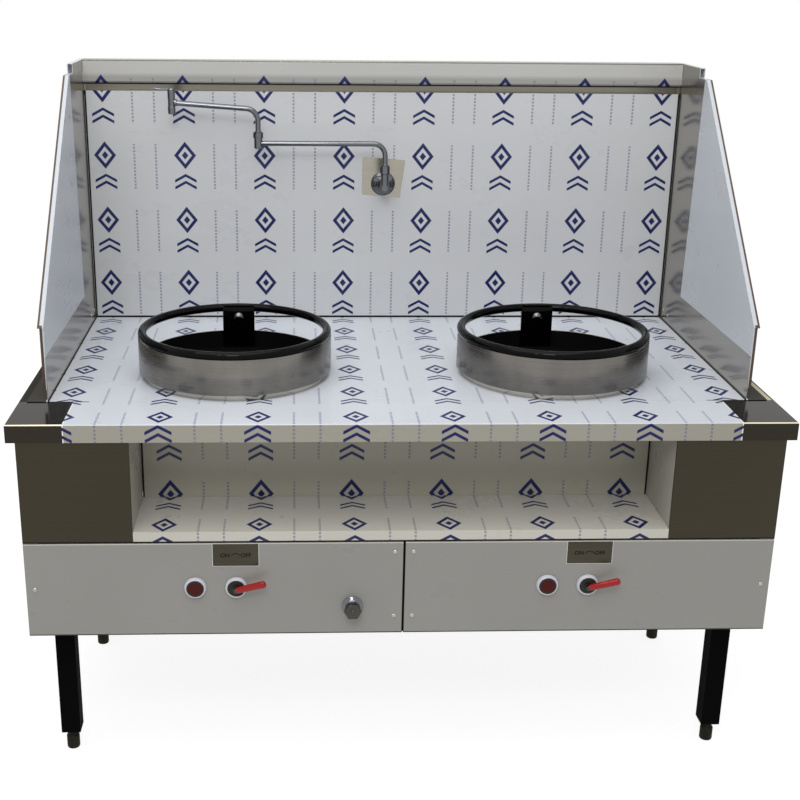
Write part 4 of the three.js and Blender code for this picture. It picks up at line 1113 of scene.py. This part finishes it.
@dataclass
class WokStation(SidedAssembly):
    """One wok ring with its collar, shroud, fire well and burner."""

    rim_radius: float = 192
    bar_radius: float = 9
    rim_height: float = 91
    strap_width: float = 70
    strap_thickness: float = 6
    strap_ends: tuple[float, float] = (3.6, 95)
    liner_radius: float = 191
    liner_wall: float = 3
    liner_facets: int = 36
    well_radius: float = 142
    well_depth: float = 200
    well_hole: float = 70
    floor: float = 3.3
    gap: float = 0.3
    upstand: float = 38.7
    shroud_lift: float = 12
    wall: float = 2
    tab_angles: tuple[float, ...] = (-160, -110, -70, -20)
    tab_half: float = 8
    tab_ends: tuple[float, float] = (16, 32.7)
    bead_radius: float = 2.4
    bead_reach: float = 33
    bolt_height: float = 72
    jet_rings: tuple[tuple[int, float], ...] = ((8, 52), (5, 27))

    @property
    def centre(self) -> Vector:
        """The ring's centre on the bench."""
        middle = centre_of(self.named("wok_collar"))
        return Vector((middle.x, middle.y, DATUM.bench_z))

    def build(self) -> None:
        """Makes the station from the well upwards."""
        self.well()
        self.collar()
        self.shroud()
        self.rim()
        self.burner()

    def well(self) -> None:
        """Black upstand, flange, barrel and bottom ring."""
        bottom, inside = -self.well_depth, self.well_radius - self.liner_wall
        upstand_inside = self.liner_radius - self.liner_wall
        work = Workpiece.turned([
            (self.liner_radius, self.gap), (self.liner_radius, self.upstand),
            (upstand_inside, self.upstand), (upstand_inside, self.floor), (inside, self.floor),
            (inside, bottom + self.liner_wall), (self.well_hole, bottom + self.liner_wall),
            (self.well_hole, bottom), (self.well_radius, bottom), (self.well_radius, self.gap),
        ], 128).eased(0.8)
        self.fit(work.moved(self.centre), "fire_well_shell", "well", "fire_well")

    def collar(self) -> None:
        """Steel collar round the upstand."""
        inner = self.liner_radius + self.gap
        work = self.band(inner, inner + self.wall, self.gap, self.upstand, 128, math.tau)
        self.fit(work.eased(0.4).moved(self.centre), "collar_ring", "collar", "wok_collar")

    def band(self, inner: float, outer: float, low: float, high: float, steps: int,
             sweep: float) -> Workpiece:
        """A round wall between two radii and two heights."""
        return Workpiece.turned([(inner, low), (outer, low), (outer, high), (inner, high)],
                                steps, sweep)

    def shroud(self) -> None:
        """Front half band of brushed steel under the rim, with its spacer tabs."""
        outer = self.rim_radius + self.bar_radius
        inner = outer - self.wall
        offset = math.sqrt(self.bar_radius ** 2 - (inner - self.rim_radius) ** 2)
        top = self.rim_height - offset - self.gap
        band = self.band(inner, outer, self.shroud_lift, top, 96, math.pi).eased(0.5)
        band.rotated(180, "Z")
        foot, head = self.tab_ends
        for degrees in self.tab_angles:
            root = Vector((self.liner_radius + 2 * self.gap + self.wall, -self.tab_half, foot))
            tip = Vector((inner + 0.5, self.tab_half, head))
            band.joined(Workpiece.block(root * MM, tip * MM).rotated(degrees, "Z"))
        # Each side takes its own ring finish, whose tone paints that ring's reflections.
        self.fit(band.moved(self.centre), "shroud_band", self.named("ring"), "wok_shroud")

    def rim(self) -> None:
        """Gloss black round bar, its strap, the strap's welds and its bolt."""
        ring = Workpiece()
        place = Matrix.Translation((self.rim_radius * MM, 0, self.rim_height * MM))
        circle = bmesh.ops.create_circle(ring.bm, segments=28, radius=self.bar_radius * MM,
                                         matrix=place @ Matrix.Rotation(math.pi / 2, 4, "X"))
        edges = list({edge for vert in circle["verts"] for edge in vert.link_edges})
        bmesh.ops.spin(ring.bm, geom=circle["verts"] + edges, cent=(0, 0, 0), axis=(0, 0, 1),
                       angle=math.tau, steps=160, use_merge=True, use_duplicate=False)
        self.fit(ring.sealed().moved(self.centre), "rim_bar", "rim", "wok_rim")
        front, back = self.strap_span()
        half = self.strap_width / 2 * MM
        foot, head = (end * MM for end in self.strap_ends)
        strap = Workpiece.block((-half, front * MM, foot), (half, back * MM, head)).eased(1.0)
        for lift in (self.rim_height - 8, self.rim_height + 7):
            path = [(x * MM, (back - 2) * MM, lift * MM)
                    for x in (-self.bead_reach, 0, self.bead_reach)]
            strap.joined(Workpiece.bar(path, self.bead_radius, 12))
        self.fit(strap.moved(self.centre), "rim_strap", "rim")
        bolt = Workpiece.turned([
            (0, -1), (11, -1), (11, 2.5), (9.5, 4.8), (6.5, 6.8), (3, 7.8), (0, 8),
        ], 40).eased(0.4).turned_forward()
        bolt.moved(self.centre + Vector((0, front * MM, self.bolt_height * MM)))
        self.fit(bolt, "strap_bolt", "chrome")

    def strap_span(self) -> tuple[float, float]:
        """Front and back of the strap behind the ring's centre."""
        inside = (self.liner_radius - self.liner_wall) * math.cos(math.pi / self.liner_facets)
        back = math.sqrt(inside ** 2 - (self.strap_width / 2) ** 2) - self.gap
        return back - self.strap_thickness, back

    def burner(self) -> None:
        """Cast bowl on the well's bottom ring, with two rings of jets."""
        bowl = Workpiece.turned([
            (0, 45), (60, 45), (64, 44.5), (69, 41), (62, 14), (62, 6), (84, 6), (84, 0), (60, 0),
            (26, -10), (19, -18), (19, -48), (25, -60), (21, -60), (14, -48), (14, -14), (0, -14),
        ], 64).eased(0.8)
        jet = [(0, 43), (4.5, 43), (4.5, 47), (3.4, 48), (3.4, 57), (1.6, 57), (1.6, 52), (0, 52)]
        for count, radius in self.jet_rings:
            for k in range(count):
                angle = math.tau * k / count
                place = radius * MM * math.cos(angle), radius * MM * math.sin(angle), 0
                bowl.joined(Workpiece.turned(jet, 16).moved(place))
        bowl.moved(self.centre + Vector((0, 0, (self.floor - self.well_depth) * MM)))
        self.fit(bowl, "burner_casting", "iron", "burner")


@dataclass
class Controls(SidedAssembly):
    """Igniter, gas valve and switch plate on one front panel."""

    bezel_radius: float = 22
    bezel_mouth: float = 19
    bezel_bore: float = 17.3
    bezel_depth: float = 8
    face_radius: float = 16.8
    lever_length: float = 63
    lever_rise: float = 18
    lever_lean: float = 9
    lever_root: float = 16
    rod_radius: float = 2.3
    sleeve_start: float = 2.0
    sleeve_oval: float = 1.25
    words: tuple[tuple[str, float], ...] = (("ON", -21), ("OFF", 20))
    letter_size: float = 11.73
    letter_weight: float = 0.28
    arc_size: tuple[float, float] = (10, 9)
    arc_drop: float = 6
    arc_degrees: int = 62
    arc_line: float = 0.75
    plate_lip: float = 1.6

    def __post_init__(self) -> None:
        """Reads the axes of the valve and of the button from the frame."""
        self.valve = on_panel(self.named("valve_bezel"))
        self.button = on_panel(self.named("button_housing"))

    def build(self) -> None:
        """Makes the controls of this side."""
        self.bezels()
        self.push_button()
        self.valve_body()
        self.lever()
        self.plate()

    def bezels(self) -> None:
        """The valve's ring, and the button's ring with its barrel behind the panel."""
        profile = [
            (self.bezel_bore, 0.3), (self.bezel_radius, 0.3), (self.bezel_radius, 2.2),
            (self.bezel_mouth + 1.2, self.bezel_depth - 1), (self.bezel_mouth, self.bezel_depth),
            (self.bezel_bore, self.bezel_depth),
        ]
        ring = Workpiece.turned(profile, 64).eased(0.5, 3).turned_forward()
        self.fit(ring.moved(self.valve), "valve_ring", "bezel", "valve_bezel")
        housing = Workpiece.turned([
            (6.4, -45), (14.7, -45), (14.7, -7.8), (18.7, -7.8), (18.7, -1.8), (14.7, -1.8),
            (14.7, 0.3), *profile[1:], (self.bezel_bore, 0.8), (6.4, 0.8),
        ], 64).eased(0.4).turned_forward()
        self.fit(housing.moved(self.button), "button_ring", "bezel", "button_housing")

    def push_button(self) -> None:
        """Dark red dome in a black skirt."""
        body = self.named("igniter")
        skirt = Workpiece.turned([
            (0, -35), (6, -35), (6, 6.1), (self.face_radius, 6.1), (self.face_radius, 8.4),
            (14.6, 9.0), (0, 9.0),
        ], 64).eased(0.3).turned_forward()
        self.fit(skirt.moved(self.button), "button_skirt", "face", "igniter_button", body=body)
        dome = [(0, 8.6), (14, 8.6), (14, 9.1), (12, 9.6), (8, 9.85), (0, 9.95)]
        lens = Workpiece.turned(dome, 64).eased(0.1).turned_forward()
        self.fit(lens.moved(self.button), "button_dome", "button", body=body)

    def valve_body(self) -> None:
        """Brass body, which keeps the CAD form, and the valve's round dark face."""
        work = Workpiece.copied(self.named("gas_valve")).eased(0.3)
        self.fit(work, "valve_brass", "brass", "gas_valve", smooth_under=31)
        disc = Workpiece.turned([
            (6.0, -0.3), (self.face_radius, -0.3), (self.face_radius, 6.6),
            (self.face_radius - 1, 7.4), (6.0, 7.4),
        ], 64).eased(0.3).turned_forward()
        self.fit(disc.moved(self.valve), "valve_dial", "face")

    def lever(self) -> None:
        """Spindle with its steel rod, and the red vinyl grip with a ball end."""
        body = self.named("valve_lever")
        spindle = Workpiece.turned([(0, -28), (5, -28), (5, 19.3), (4.2, 20), (0, 20)], 40)
        nut = Workpiece.turned([(5.0, 7.6), (7.2, 7.6), (7.2, 11), (5.0, 11)], 6).eased(0.4)
        spindle.joined(nut).turned_forward()
        rise, lean = math.radians(self.lever_rise), math.radians(self.lever_lean)
        along = Vector((math.cos(rise) * math.cos(lean), -math.sin(lean),
                        math.sin(rise) * math.cos(lean)))
        root = Vector((0, -self.lever_root * MM, 0))
        tip = root + along * ((self.lever_length - 8) * MM)
        spindle.joined(Workpiece.bar([root, tip], self.rod_radius, 16)).moved(self.valve)
        self.fit(spindle, "valve_shaft", "nickel", "valve_spindle", body=body)
        length = self.lever_length - self.sleeve_start
        grip = Workpiece.turned([
            (2.6, 0), (4.7, 0), (5.2, 1), (5.7, length * 0.45), (6.0, length * 0.78),
            (6.2, length * 0.87), (5.9, length * 0.92), (4.8, length * 0.96),
            (3.0, length * 0.985), (0, length * 0.995),
        ], 40)
        bmesh.ops.scale(grip.bm, verts=grip.bm.verts, vec=(self.sleeve_oval, 1, 1))
        grip.with_matrix(Vector((0, 0, 1)).rotation_difference(along).to_matrix())
        grip.moved(self.valve + root + along * (self.sleeve_start * MM))
        self.fit(grip, "grip_sleeve", "vinyl", "lever_grip", body=body)

    def plate(self) -> None:
        """Etched window, its letters, and the cut edge of the film round it."""
        low, high = (Vector(corner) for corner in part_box(self.named("switch_plate")))
        window = Workpiece.block(low, high).eased(0.15)
        self.fit(window, "plate_window", "plate", "switch_plate")
        centre = (low + high) / 2
        letters = self.letters().moved((centre.x, low.y - 0.05 * MM, centre.z))
        self.fit(letters, "plate_letters", "etch", smooth_under=31)
        self.fit(self.cut_edge(low, high), "plate_film_edge", "lip")

    def letters(self) -> Workpiece:
        """ON and OFF either side of an arc."""
        letters = Workpiece()
        for word, offset in self.words:
            text = bpy.data.curves.new(word, "FONT")
            text.body = word
            text.size = self.letter_size * MM
            text.extrude = 0.04 * MM
            text.offset = self.letter_weight * MM
            text.align_x = text.align_y = "CENTER"
            piece = Workpiece.from_curve(text).rotated(90, "X")
            letters.joined(piece.moved((offset * MM, 0, -1 * MM)))
        wide, high = self.arc_size
        arc = [(wide * MM * math.sin(a), 0, (high * math.cos(a) - self.arc_drop) * MM)
               for a in map(math.radians, range(-self.arc_degrees, self.arc_degrees + 1, 4))]
        return letters.joined(Workpiece.bar(arc, self.arc_line, 8))

    def cut_edge(self, low: Vector, high: Vector) -> Workpiece:
        """A thin frame of film round a window."""
        width = self.plate_lip * MM
        centre = (low + high) / 2
        outline = Workpiece.block(
            (low.x - width, DATUM.panel_y - 0.5 * MM, low.z - width),
            (high.x + width, DATUM.panel_y - 0.1 * MM, high.z + width))
        front = [face for face in outline.bm.faces if abs(face.normal.y) > 0.9]
        bmesh.ops.inset_region(outline.bm, faces=front, thickness=width, depth=0)
        inner = []
        for face in outline.bm.faces:
            off = face.calc_center_median() - centre
            if abs(face.normal.y) > 0.9 and max(abs(off.x), abs(off.z)) < MM:
                inner.append(face)
        rims = [edge for face in inner for edge in face.edges]
        bmesh.ops.delete(outline.bm, geom=inner, context="FACES_ONLY")
        bmesh.ops.bridge_loops(outline.bm, edges=rims)
        return outline.sealed()


@dataclass
class WaterTap:
    """Double-jointed swing tap in chrome. Its heights go from the bench or the wall flange."""

    flange_height: float = 327.5
    tube: float = 6
    bend: float = 28
    reach: float = 60
    outer_arm: float = 195
    tilt: float = 4.1
    inner_lift: float = 100.1
    outer_lift: float = 176.1
    outlet_ends: tuple[float, float] = (492.4, 544)
    lever_seat: float = 216.8
    nut_radius: float = 11.5
    body_radius: float = 9.5

    def __post_init__(self) -> None:
        """Reads the tap's axes from the frame."""
        joints = {joint["name"]: joint for joint in frame["joints"]}
        self.height = DATUM.bench_z + self.flange_height * MM
        self.wall, self.elbow, self.outlet = (
            Vector((*joints[name]["pos_m"][:2], self.height))
            for name in ("tap_inner_swing", "tap_outer_swing", "tap_lever_turn"))

    def build(self) -> None:
        """Makes the tap from the wall outwards."""
        self.wall_body()
        self.inner()
        self.outer()
        self.lever()

    def nut(self, low: float, high: float) -> Workpiece:
        """A knurled nut between two heights."""
        bore, radius = self.tube + 0.4, self.nut_radius
        ring = Workpiece.turned([(bore, low), (radius, low), (radius, high), (bore, high)], 48)
        flutes = [face for face in ring.bm.faces if abs(face.normal.z) < 0.1
                  and face.calc_center_median().xy.length > (radius - 0.5) * MM]
        bmesh.ops.inset_individual(ring.bm, faces=flutes[::2], thickness=0.12 * MM,
                                   depth=-0.35 * MM)
        return ring

    def wall_body(self) -> None:
        """Cup flange, conical neck, upright body, nut, and the tail behind the splash."""
        on_wall = (0, DATUM.splash_y, self.height)
        neck = Workpiece.turned([
            (0, 0.3), (28.5, 0.3), (28.5, 3), (27.6, 5.4), (25, 8.2), (20, 11.5), (15, 15),
            (12.5, 19), (11.2, 25), (11, self.reach + 1), (10.2, self.reach + 5),
            (7.5, self.reach + 8), (0, self.reach + 9),
        ], 64).turned_forward().moved(on_wall)
        tail = Workpiece.turned([(0, -28), (10, -28), (10, 0), (0, 0)], 40).turned_forward()
        upright = Workpiece.turned([
            (0, -4), (self.body_radius, -4), (self.body_radius, 30.5), (8.2, 31.2), (8.2, 32.4),
            (0, 32.4),
        ], 48).moved(self.wall)
        neck.joined(tail.moved(on_wall), upright, self.nut(32.5, 50).moved(self.wall))
        neck.finished("tap_wall_body", "chrome", "tap_body")

    def inner(self) -> None:
        """Inner arm with its elbow socket and nut."""
        lift = self.inner_lift
        path = rounded_path([
            self.wall + Vector((0, 0, 36 * MM)), self.wall + Vector((0, 0, lift * MM)),
            self.elbow + Vector((4 * MM, 0, lift * MM)),
        ], self.bend)
        arm = Workpiece.bar(path, self.tube, 24)
        collar = Workpiece.turned([(6, 50.3), (8, 50.3), (8, 52.4), (7.4, 53), (6, 53)], 40)
        socket = Workpiece.turned([
            (0, lift - 12), (7.5, lift - 12), (self.body_radius, lift - 10),
            (self.body_radius, lift + 12), (0, lift + 12),
        ], 48).moved(self.elbow)
        nut = self.nut(lift + 12, lift + 25).moved(self.elbow)
        arm.joined(collar.moved(self.wall), socket, nut)
        arm.finished("tap_inner_tube", "chrome", "tap_inner_arm", body="tap_inner")

    def outer(self) -> None:
        """Outer arm, and the outlet barrel at its end."""
        lift = self.outer_lift
        slope = math.tan(math.radians(self.tilt))
        end = self.outer_arm - 6
        path = rounded_path([
            self.elbow + Vector((0, 0, 110 * MM)), self.elbow + Vector((0, 0, lift * MM)),
            self.elbow + Vector((-end * MM, 0, (lift + end * slope) * MM)),
        ], self.bend)
        arm = Workpiece.bar(path, self.tube, 24)
        collar = Workpiece.turned([(6, 125.4), (8, 125.4), (8, 127.4), (7.4, 128), (6, 128)], 40)
        arm.joined(collar.moved(self.elbow))
        arm.finished("tap_outer_tube", "chrome", "tap_outer_arm", body="tap_outer")
        waist = lift + self.outer_arm * slope
        low, high = (height - self.flange_height for height in self.outlet_ends)
        barrel = Workpiece.turned([
            (5.6, low + 10), (5.6, low), (7.2, low), (8.5, low + 1.3), (8.5, waist - 9),
            (7.8, waist - 8.2), (7.8, waist + 8.2), (8.5, waist + 9), (8.5, high - 1),
            (7.5, high), (0, high),
        ], 48).capped().moved(self.outlet)
        seat = Workpiece.turned([(6.0, -3), (8, -3), (8, 2.4), (7.4, 3), (6.0, 3)], 32)
        seat.rotated(90, "Y").moved(self.outlet + Vector((9 * MM, 0, waist * MM)))
        barrel.joined(seat)
        barrel.finished("tap_outlet_barrel", "chrome", "tap_outlet", body="tap_outer")

    def lever(self) -> None:
        """Thin lever on a round hub."""
        seat = self.lever_seat
        hub = Workpiece.turned([
            (0, seat - 6), (3, seat - 6), (3, seat), (8, seat), (8, seat + 3), (6.8, seat + 5),
            (5, seat + 6), (0, seat + 6),
        ], 40)
        path = rounded_path([
            (0, 0, (seat + 2.5) * MM), (-24 * MM, 0, (seat + 2.5) * MM),
            (-39 * MM, 0, (seat + 5) * MM),
        ], 30)
        hub.joined(Workpiece.bar(path, 2, 16)).moved(self.outlet)
        hub.finished("outlet_handle", "chrome", "outlet_lever", body="tap_lever")


@dataclass
class WaterValve:
    """Hexagon-capped water valve on the left panel."""

    cap_across: float = 30
    cap_front: float = 27

    def build(self) -> None:
        """Makes the flange and the cap."""
        axis = on_panel("water_valve_body")
        body = Workpiece.turned([
            (0, -40), (12, -40), (12, -8.8), (18, -8.8), (18, -1.8), (12, -1.8), (12, 0.3),
            (21.5, 0.3), (21.5, 2), (20.4, 3), (17, 4.6), (14.5, 7), (13, 10), (13, 15.6),
            (12, 16), (0, 16),
        ], 64).turned_forward()
        body.moved(axis).finished("water_valve_flange", "chrome", "water_valve_body")
        corner = self.cap_across / math.cos(math.pi / 6) / 2
        cap = Workpiece.turned([
            (0, 16.3), (corner, 16.3), (corner, self.cap_front), (0, self.cap_front),
        ], 6).eased(1.0, 3)
        stud = Workpiece.turned([(0, 26), (5, 26), (5, 28.6), (4, 29.4), (0, 29.4)], 32)
        washer = Workpiece.turned([(5, 26.5), (9.5, 26.5), (9.5, 27.6), (5, 27.6)], 40)
        stem = Workpiece.turned([(0, -18), (5, -18), (5, 17), (0, 17)], 32)
        cap.joined(stud, washer, stem).turned_forward().moved(axis)
        cap.finished("water_cap_hexagon", "nickel", "water_valve_cap", body="water_cap")


@dataclass
class Footing:
    """Screw-in feet."""

    radius: float = 13.5
    neck: float = 9
    stem: float = 6
    bell: float = 33
    leg_end: float = 44.7
    top: float = 94.7

    def build(self) -> None:
        """Makes the four feet."""
        profile = [
            (0, 0), (self.radius - 3, 0), (self.radius - 0.9, 0.8), (self.radius, 2.8),
            (self.radius, self.bell - 5), (self.radius - 0.7, self.bell - 3.4),
            (self.neck + 0.4, self.bell - 1), (self.neck, self.bell), (self.neck, self.leg_end),
            (self.stem, self.leg_end), (self.stem, self.top - 2), (self.stem - 1.5, self.top),
            (0, self.top),
        ]
        for row in ("front", "rear"):
            for side in Side:
                node = f"foot_{row}_{side.value}"
                foot = Workpiece.turned(profile, 48).moved((*centre_of(node).xy, 0))
                foot.finished(f"{node}_screw", "foot", node, body=node)


@dataclass
class Plumbing:
    """Gas and water lines inside the cabinet and behind the splash."""

    smooth_under: float = 50

    def build(self) -> None:
        """Dresses the lines, which keep their CAD form."""
        dressed = {"gas_manifold": "zinc", "burner_pipe_left": "zinc",
                   "burner_pipe_right": "zinc", "water_pipe": "copper"}
        for node, finish in dressed.items():
            Workpiece.copied(node).finished(f"{node}_line", finish, node,
                                            smooth_under=self.smooth_under)


@dataclass
class PanelScrews:
    """Round-headed screws of the front panels."""

    radius: float = 4.2
    height: float = 2.35
    inset: float = 17
    side_drop: float = 344
    seam_drops: tuple[float, float] = (268, 407)

    def build(self) -> None:
        """Covers each screw head of the panels with a rounder one."""
        heads = Workpiece()
        left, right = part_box("front_panel_left"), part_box("front_panel_right")
        inset = self.inset * MM
        places = [(left[0][0] + inset, self.side_drop)]
        places += [(x, drop) for x in (left[1][0] - inset, right[0][0] + inset)
                   for drop in self.seam_drops]
        places.append((right[1][0] - inset, self.side_drop))
        for x, drop in places:
            head = Workpiece.turned([
                (0, -0.2), (self.radius, -0.2), (self.radius, 0.9), (3.4, 1.7), (2.0, 2.2),
                (0.8, self.height), (0, self.height),
            ], 32).turned_forward()
            heads.joined(head.moved((x, DATUM.panel_y, DATUM.bench_z - drop * MM)))
        heads.finished("panel_screw_heads", "screw")


# ---- Studio -------------------------------------------------------------------------------


@dataclass
class Studio:
    """Pale floor, soft light and the camera. Sizes are in metres, angles in radians."""

    lens: float = 57.52
    shift_x: float = 0.0680
    shift_y: float = 0.0065
    yaw: float = 0.04043
    pitch: float = 0.32901
    roll: float = 0.01032
    place: Point = (-0.20565, -2.65201, 1.58320)
    floor_reach: float = 30
    sky_strength: float = 0.48
    floor_glow: float = 1.25
    glow_share: float = 0.7

    def build(self) -> None:
        """Sets up the floor, the light and the camera."""
        self.floor()
        self.light()
        self.camera()
        bpy.context.scene.view_settings.view_transform = "Standard"

    def floor(self) -> None:
        """A wide pale floor that keeps the shadow."""
        g = Graph(bpy.data.materials.new("studio_floor"))
        tone = g.mix(g.noise((3.0, 3.0, 3.0), 2.0), (0.86, 0.86, 0.86), (0.9, 0.9, 0.9))
        pale = g.add("ShaderNodeBsdfDiffuse", inputs={"Color": tone})
        glow = g.add("ShaderNodeEmission", inputs={"Color": WHITE, "Strength": self.floor_glow})
        share = g.seen_directly() * self.glow_share
        material = g.ended(g.add("ShaderNodeMixShader", inputs={0: share, 1: pale, 2: glow}))
        work = Workpiece()
        bmesh.ops.create_grid(work.bm, x_segments=1, y_segments=1, size=self.floor_reach)
        mesh = bpy.data.meshes.new("studio_floor")
        work.bm.to_mesh(mesh)
        work.bm.free()
        mesh.materials.append(material)
        floor = bpy.data.objects.new("studio_floor", mesh)
        bpy.context.scene.collection.objects.link(floor)

    def light(self) -> None:
        """Even sky light that shows as white, a large lamp overhead and two small in front."""
        g = Graph(bpy.data.worlds.new("studio_sky"))
        sky = g.add("ShaderNodeBackground", inputs={"Color": WHITE, "Strength": self.sky_strength})
        white = g.add("ShaderNodeBackground", inputs={"Color": WHITE})
        bpy.context.scene.world = g.ended(
            g.add("ShaderNodeMixShader", inputs={0: g.seen_directly(), 1: sky, 2: white}))
        self.lamp("overhead_softbox", (-0.3, -0.9, 3.4), (0.0, 0.0, 0.8), 3.0, 54, WHITE)
        self.lamp("front_key", (-0.4, -3.0, 3.1), (0.0, 0.0, 0.9), 0.8, 26, (0.93, 0.97, 1.0))
        self.lamp("front_spark", (-1.1, -2.6, 2.7), (0.0, 0.0, 0.9), 0.12, 4, (1.0, 0.95, 0.86))

    def lamp(self, name: str, place: Point, target: Point, size: float, watts: float,
             colour: Colour) -> None:
        """Adds a square soft lamp that faces a target."""
        data = bpy.data.lights.new(name, "AREA")
        data.size = size
        data.energy = watts
        data.color = colour
        lamp = bpy.data.objects.new(name, data)
        lamp.location = place
        aim = Vector(target) - Vector(place)
        lamp.rotation_euler = aim.to_track_quat("-Z", "Y").to_euler()
        bpy.context.scene.collection.objects.link(lamp)

    def camera(self) -> None:
        """The photograph's viewpoint, with its frame shifted off the lens axis."""
        data = bpy.data.cameras.new("photo_camera")
        data.sensor_width = 36
        data.lens = self.lens
        data.shift_x = self.shift_x
        data.shift_y = self.shift_y
        data.clip_start = 0.05
        data.clip_end = 200
        camera = bpy.data.objects.new("photo_camera", data)
        turn = (Matrix.Rotation(-self.yaw, 4, "Z")
                @ Matrix.Rotation(math.pi / 2 - self.pitch, 4, "X")
                @ Matrix.Rotation(self.roll, 4, "Z"))
        camera.matrix_world = Matrix.Translation(self.place) @ turn
        bpy.context.scene.collection.objects.link(camera)
        bpy.context.scene.camera = camera


def main() -> None:
    """Builds the range, piece by piece, and its studio."""
    logging.basicConfig(level=logging.INFO, format="%(name)s: %(message)s")
    assemblies = [SheetWork(), WaterTap(), WaterValve(), Footing(), Plumbing(), PanelScrews()]
    assemblies += [maker(side) for side in Side for maker in (WokStation, Controls)]
    for assembly in assemblies:
        log.info("building %s", type(assembly).__name__)
        assembly.build()
    Studio().build()


if __name__ == "__main__":
    main()
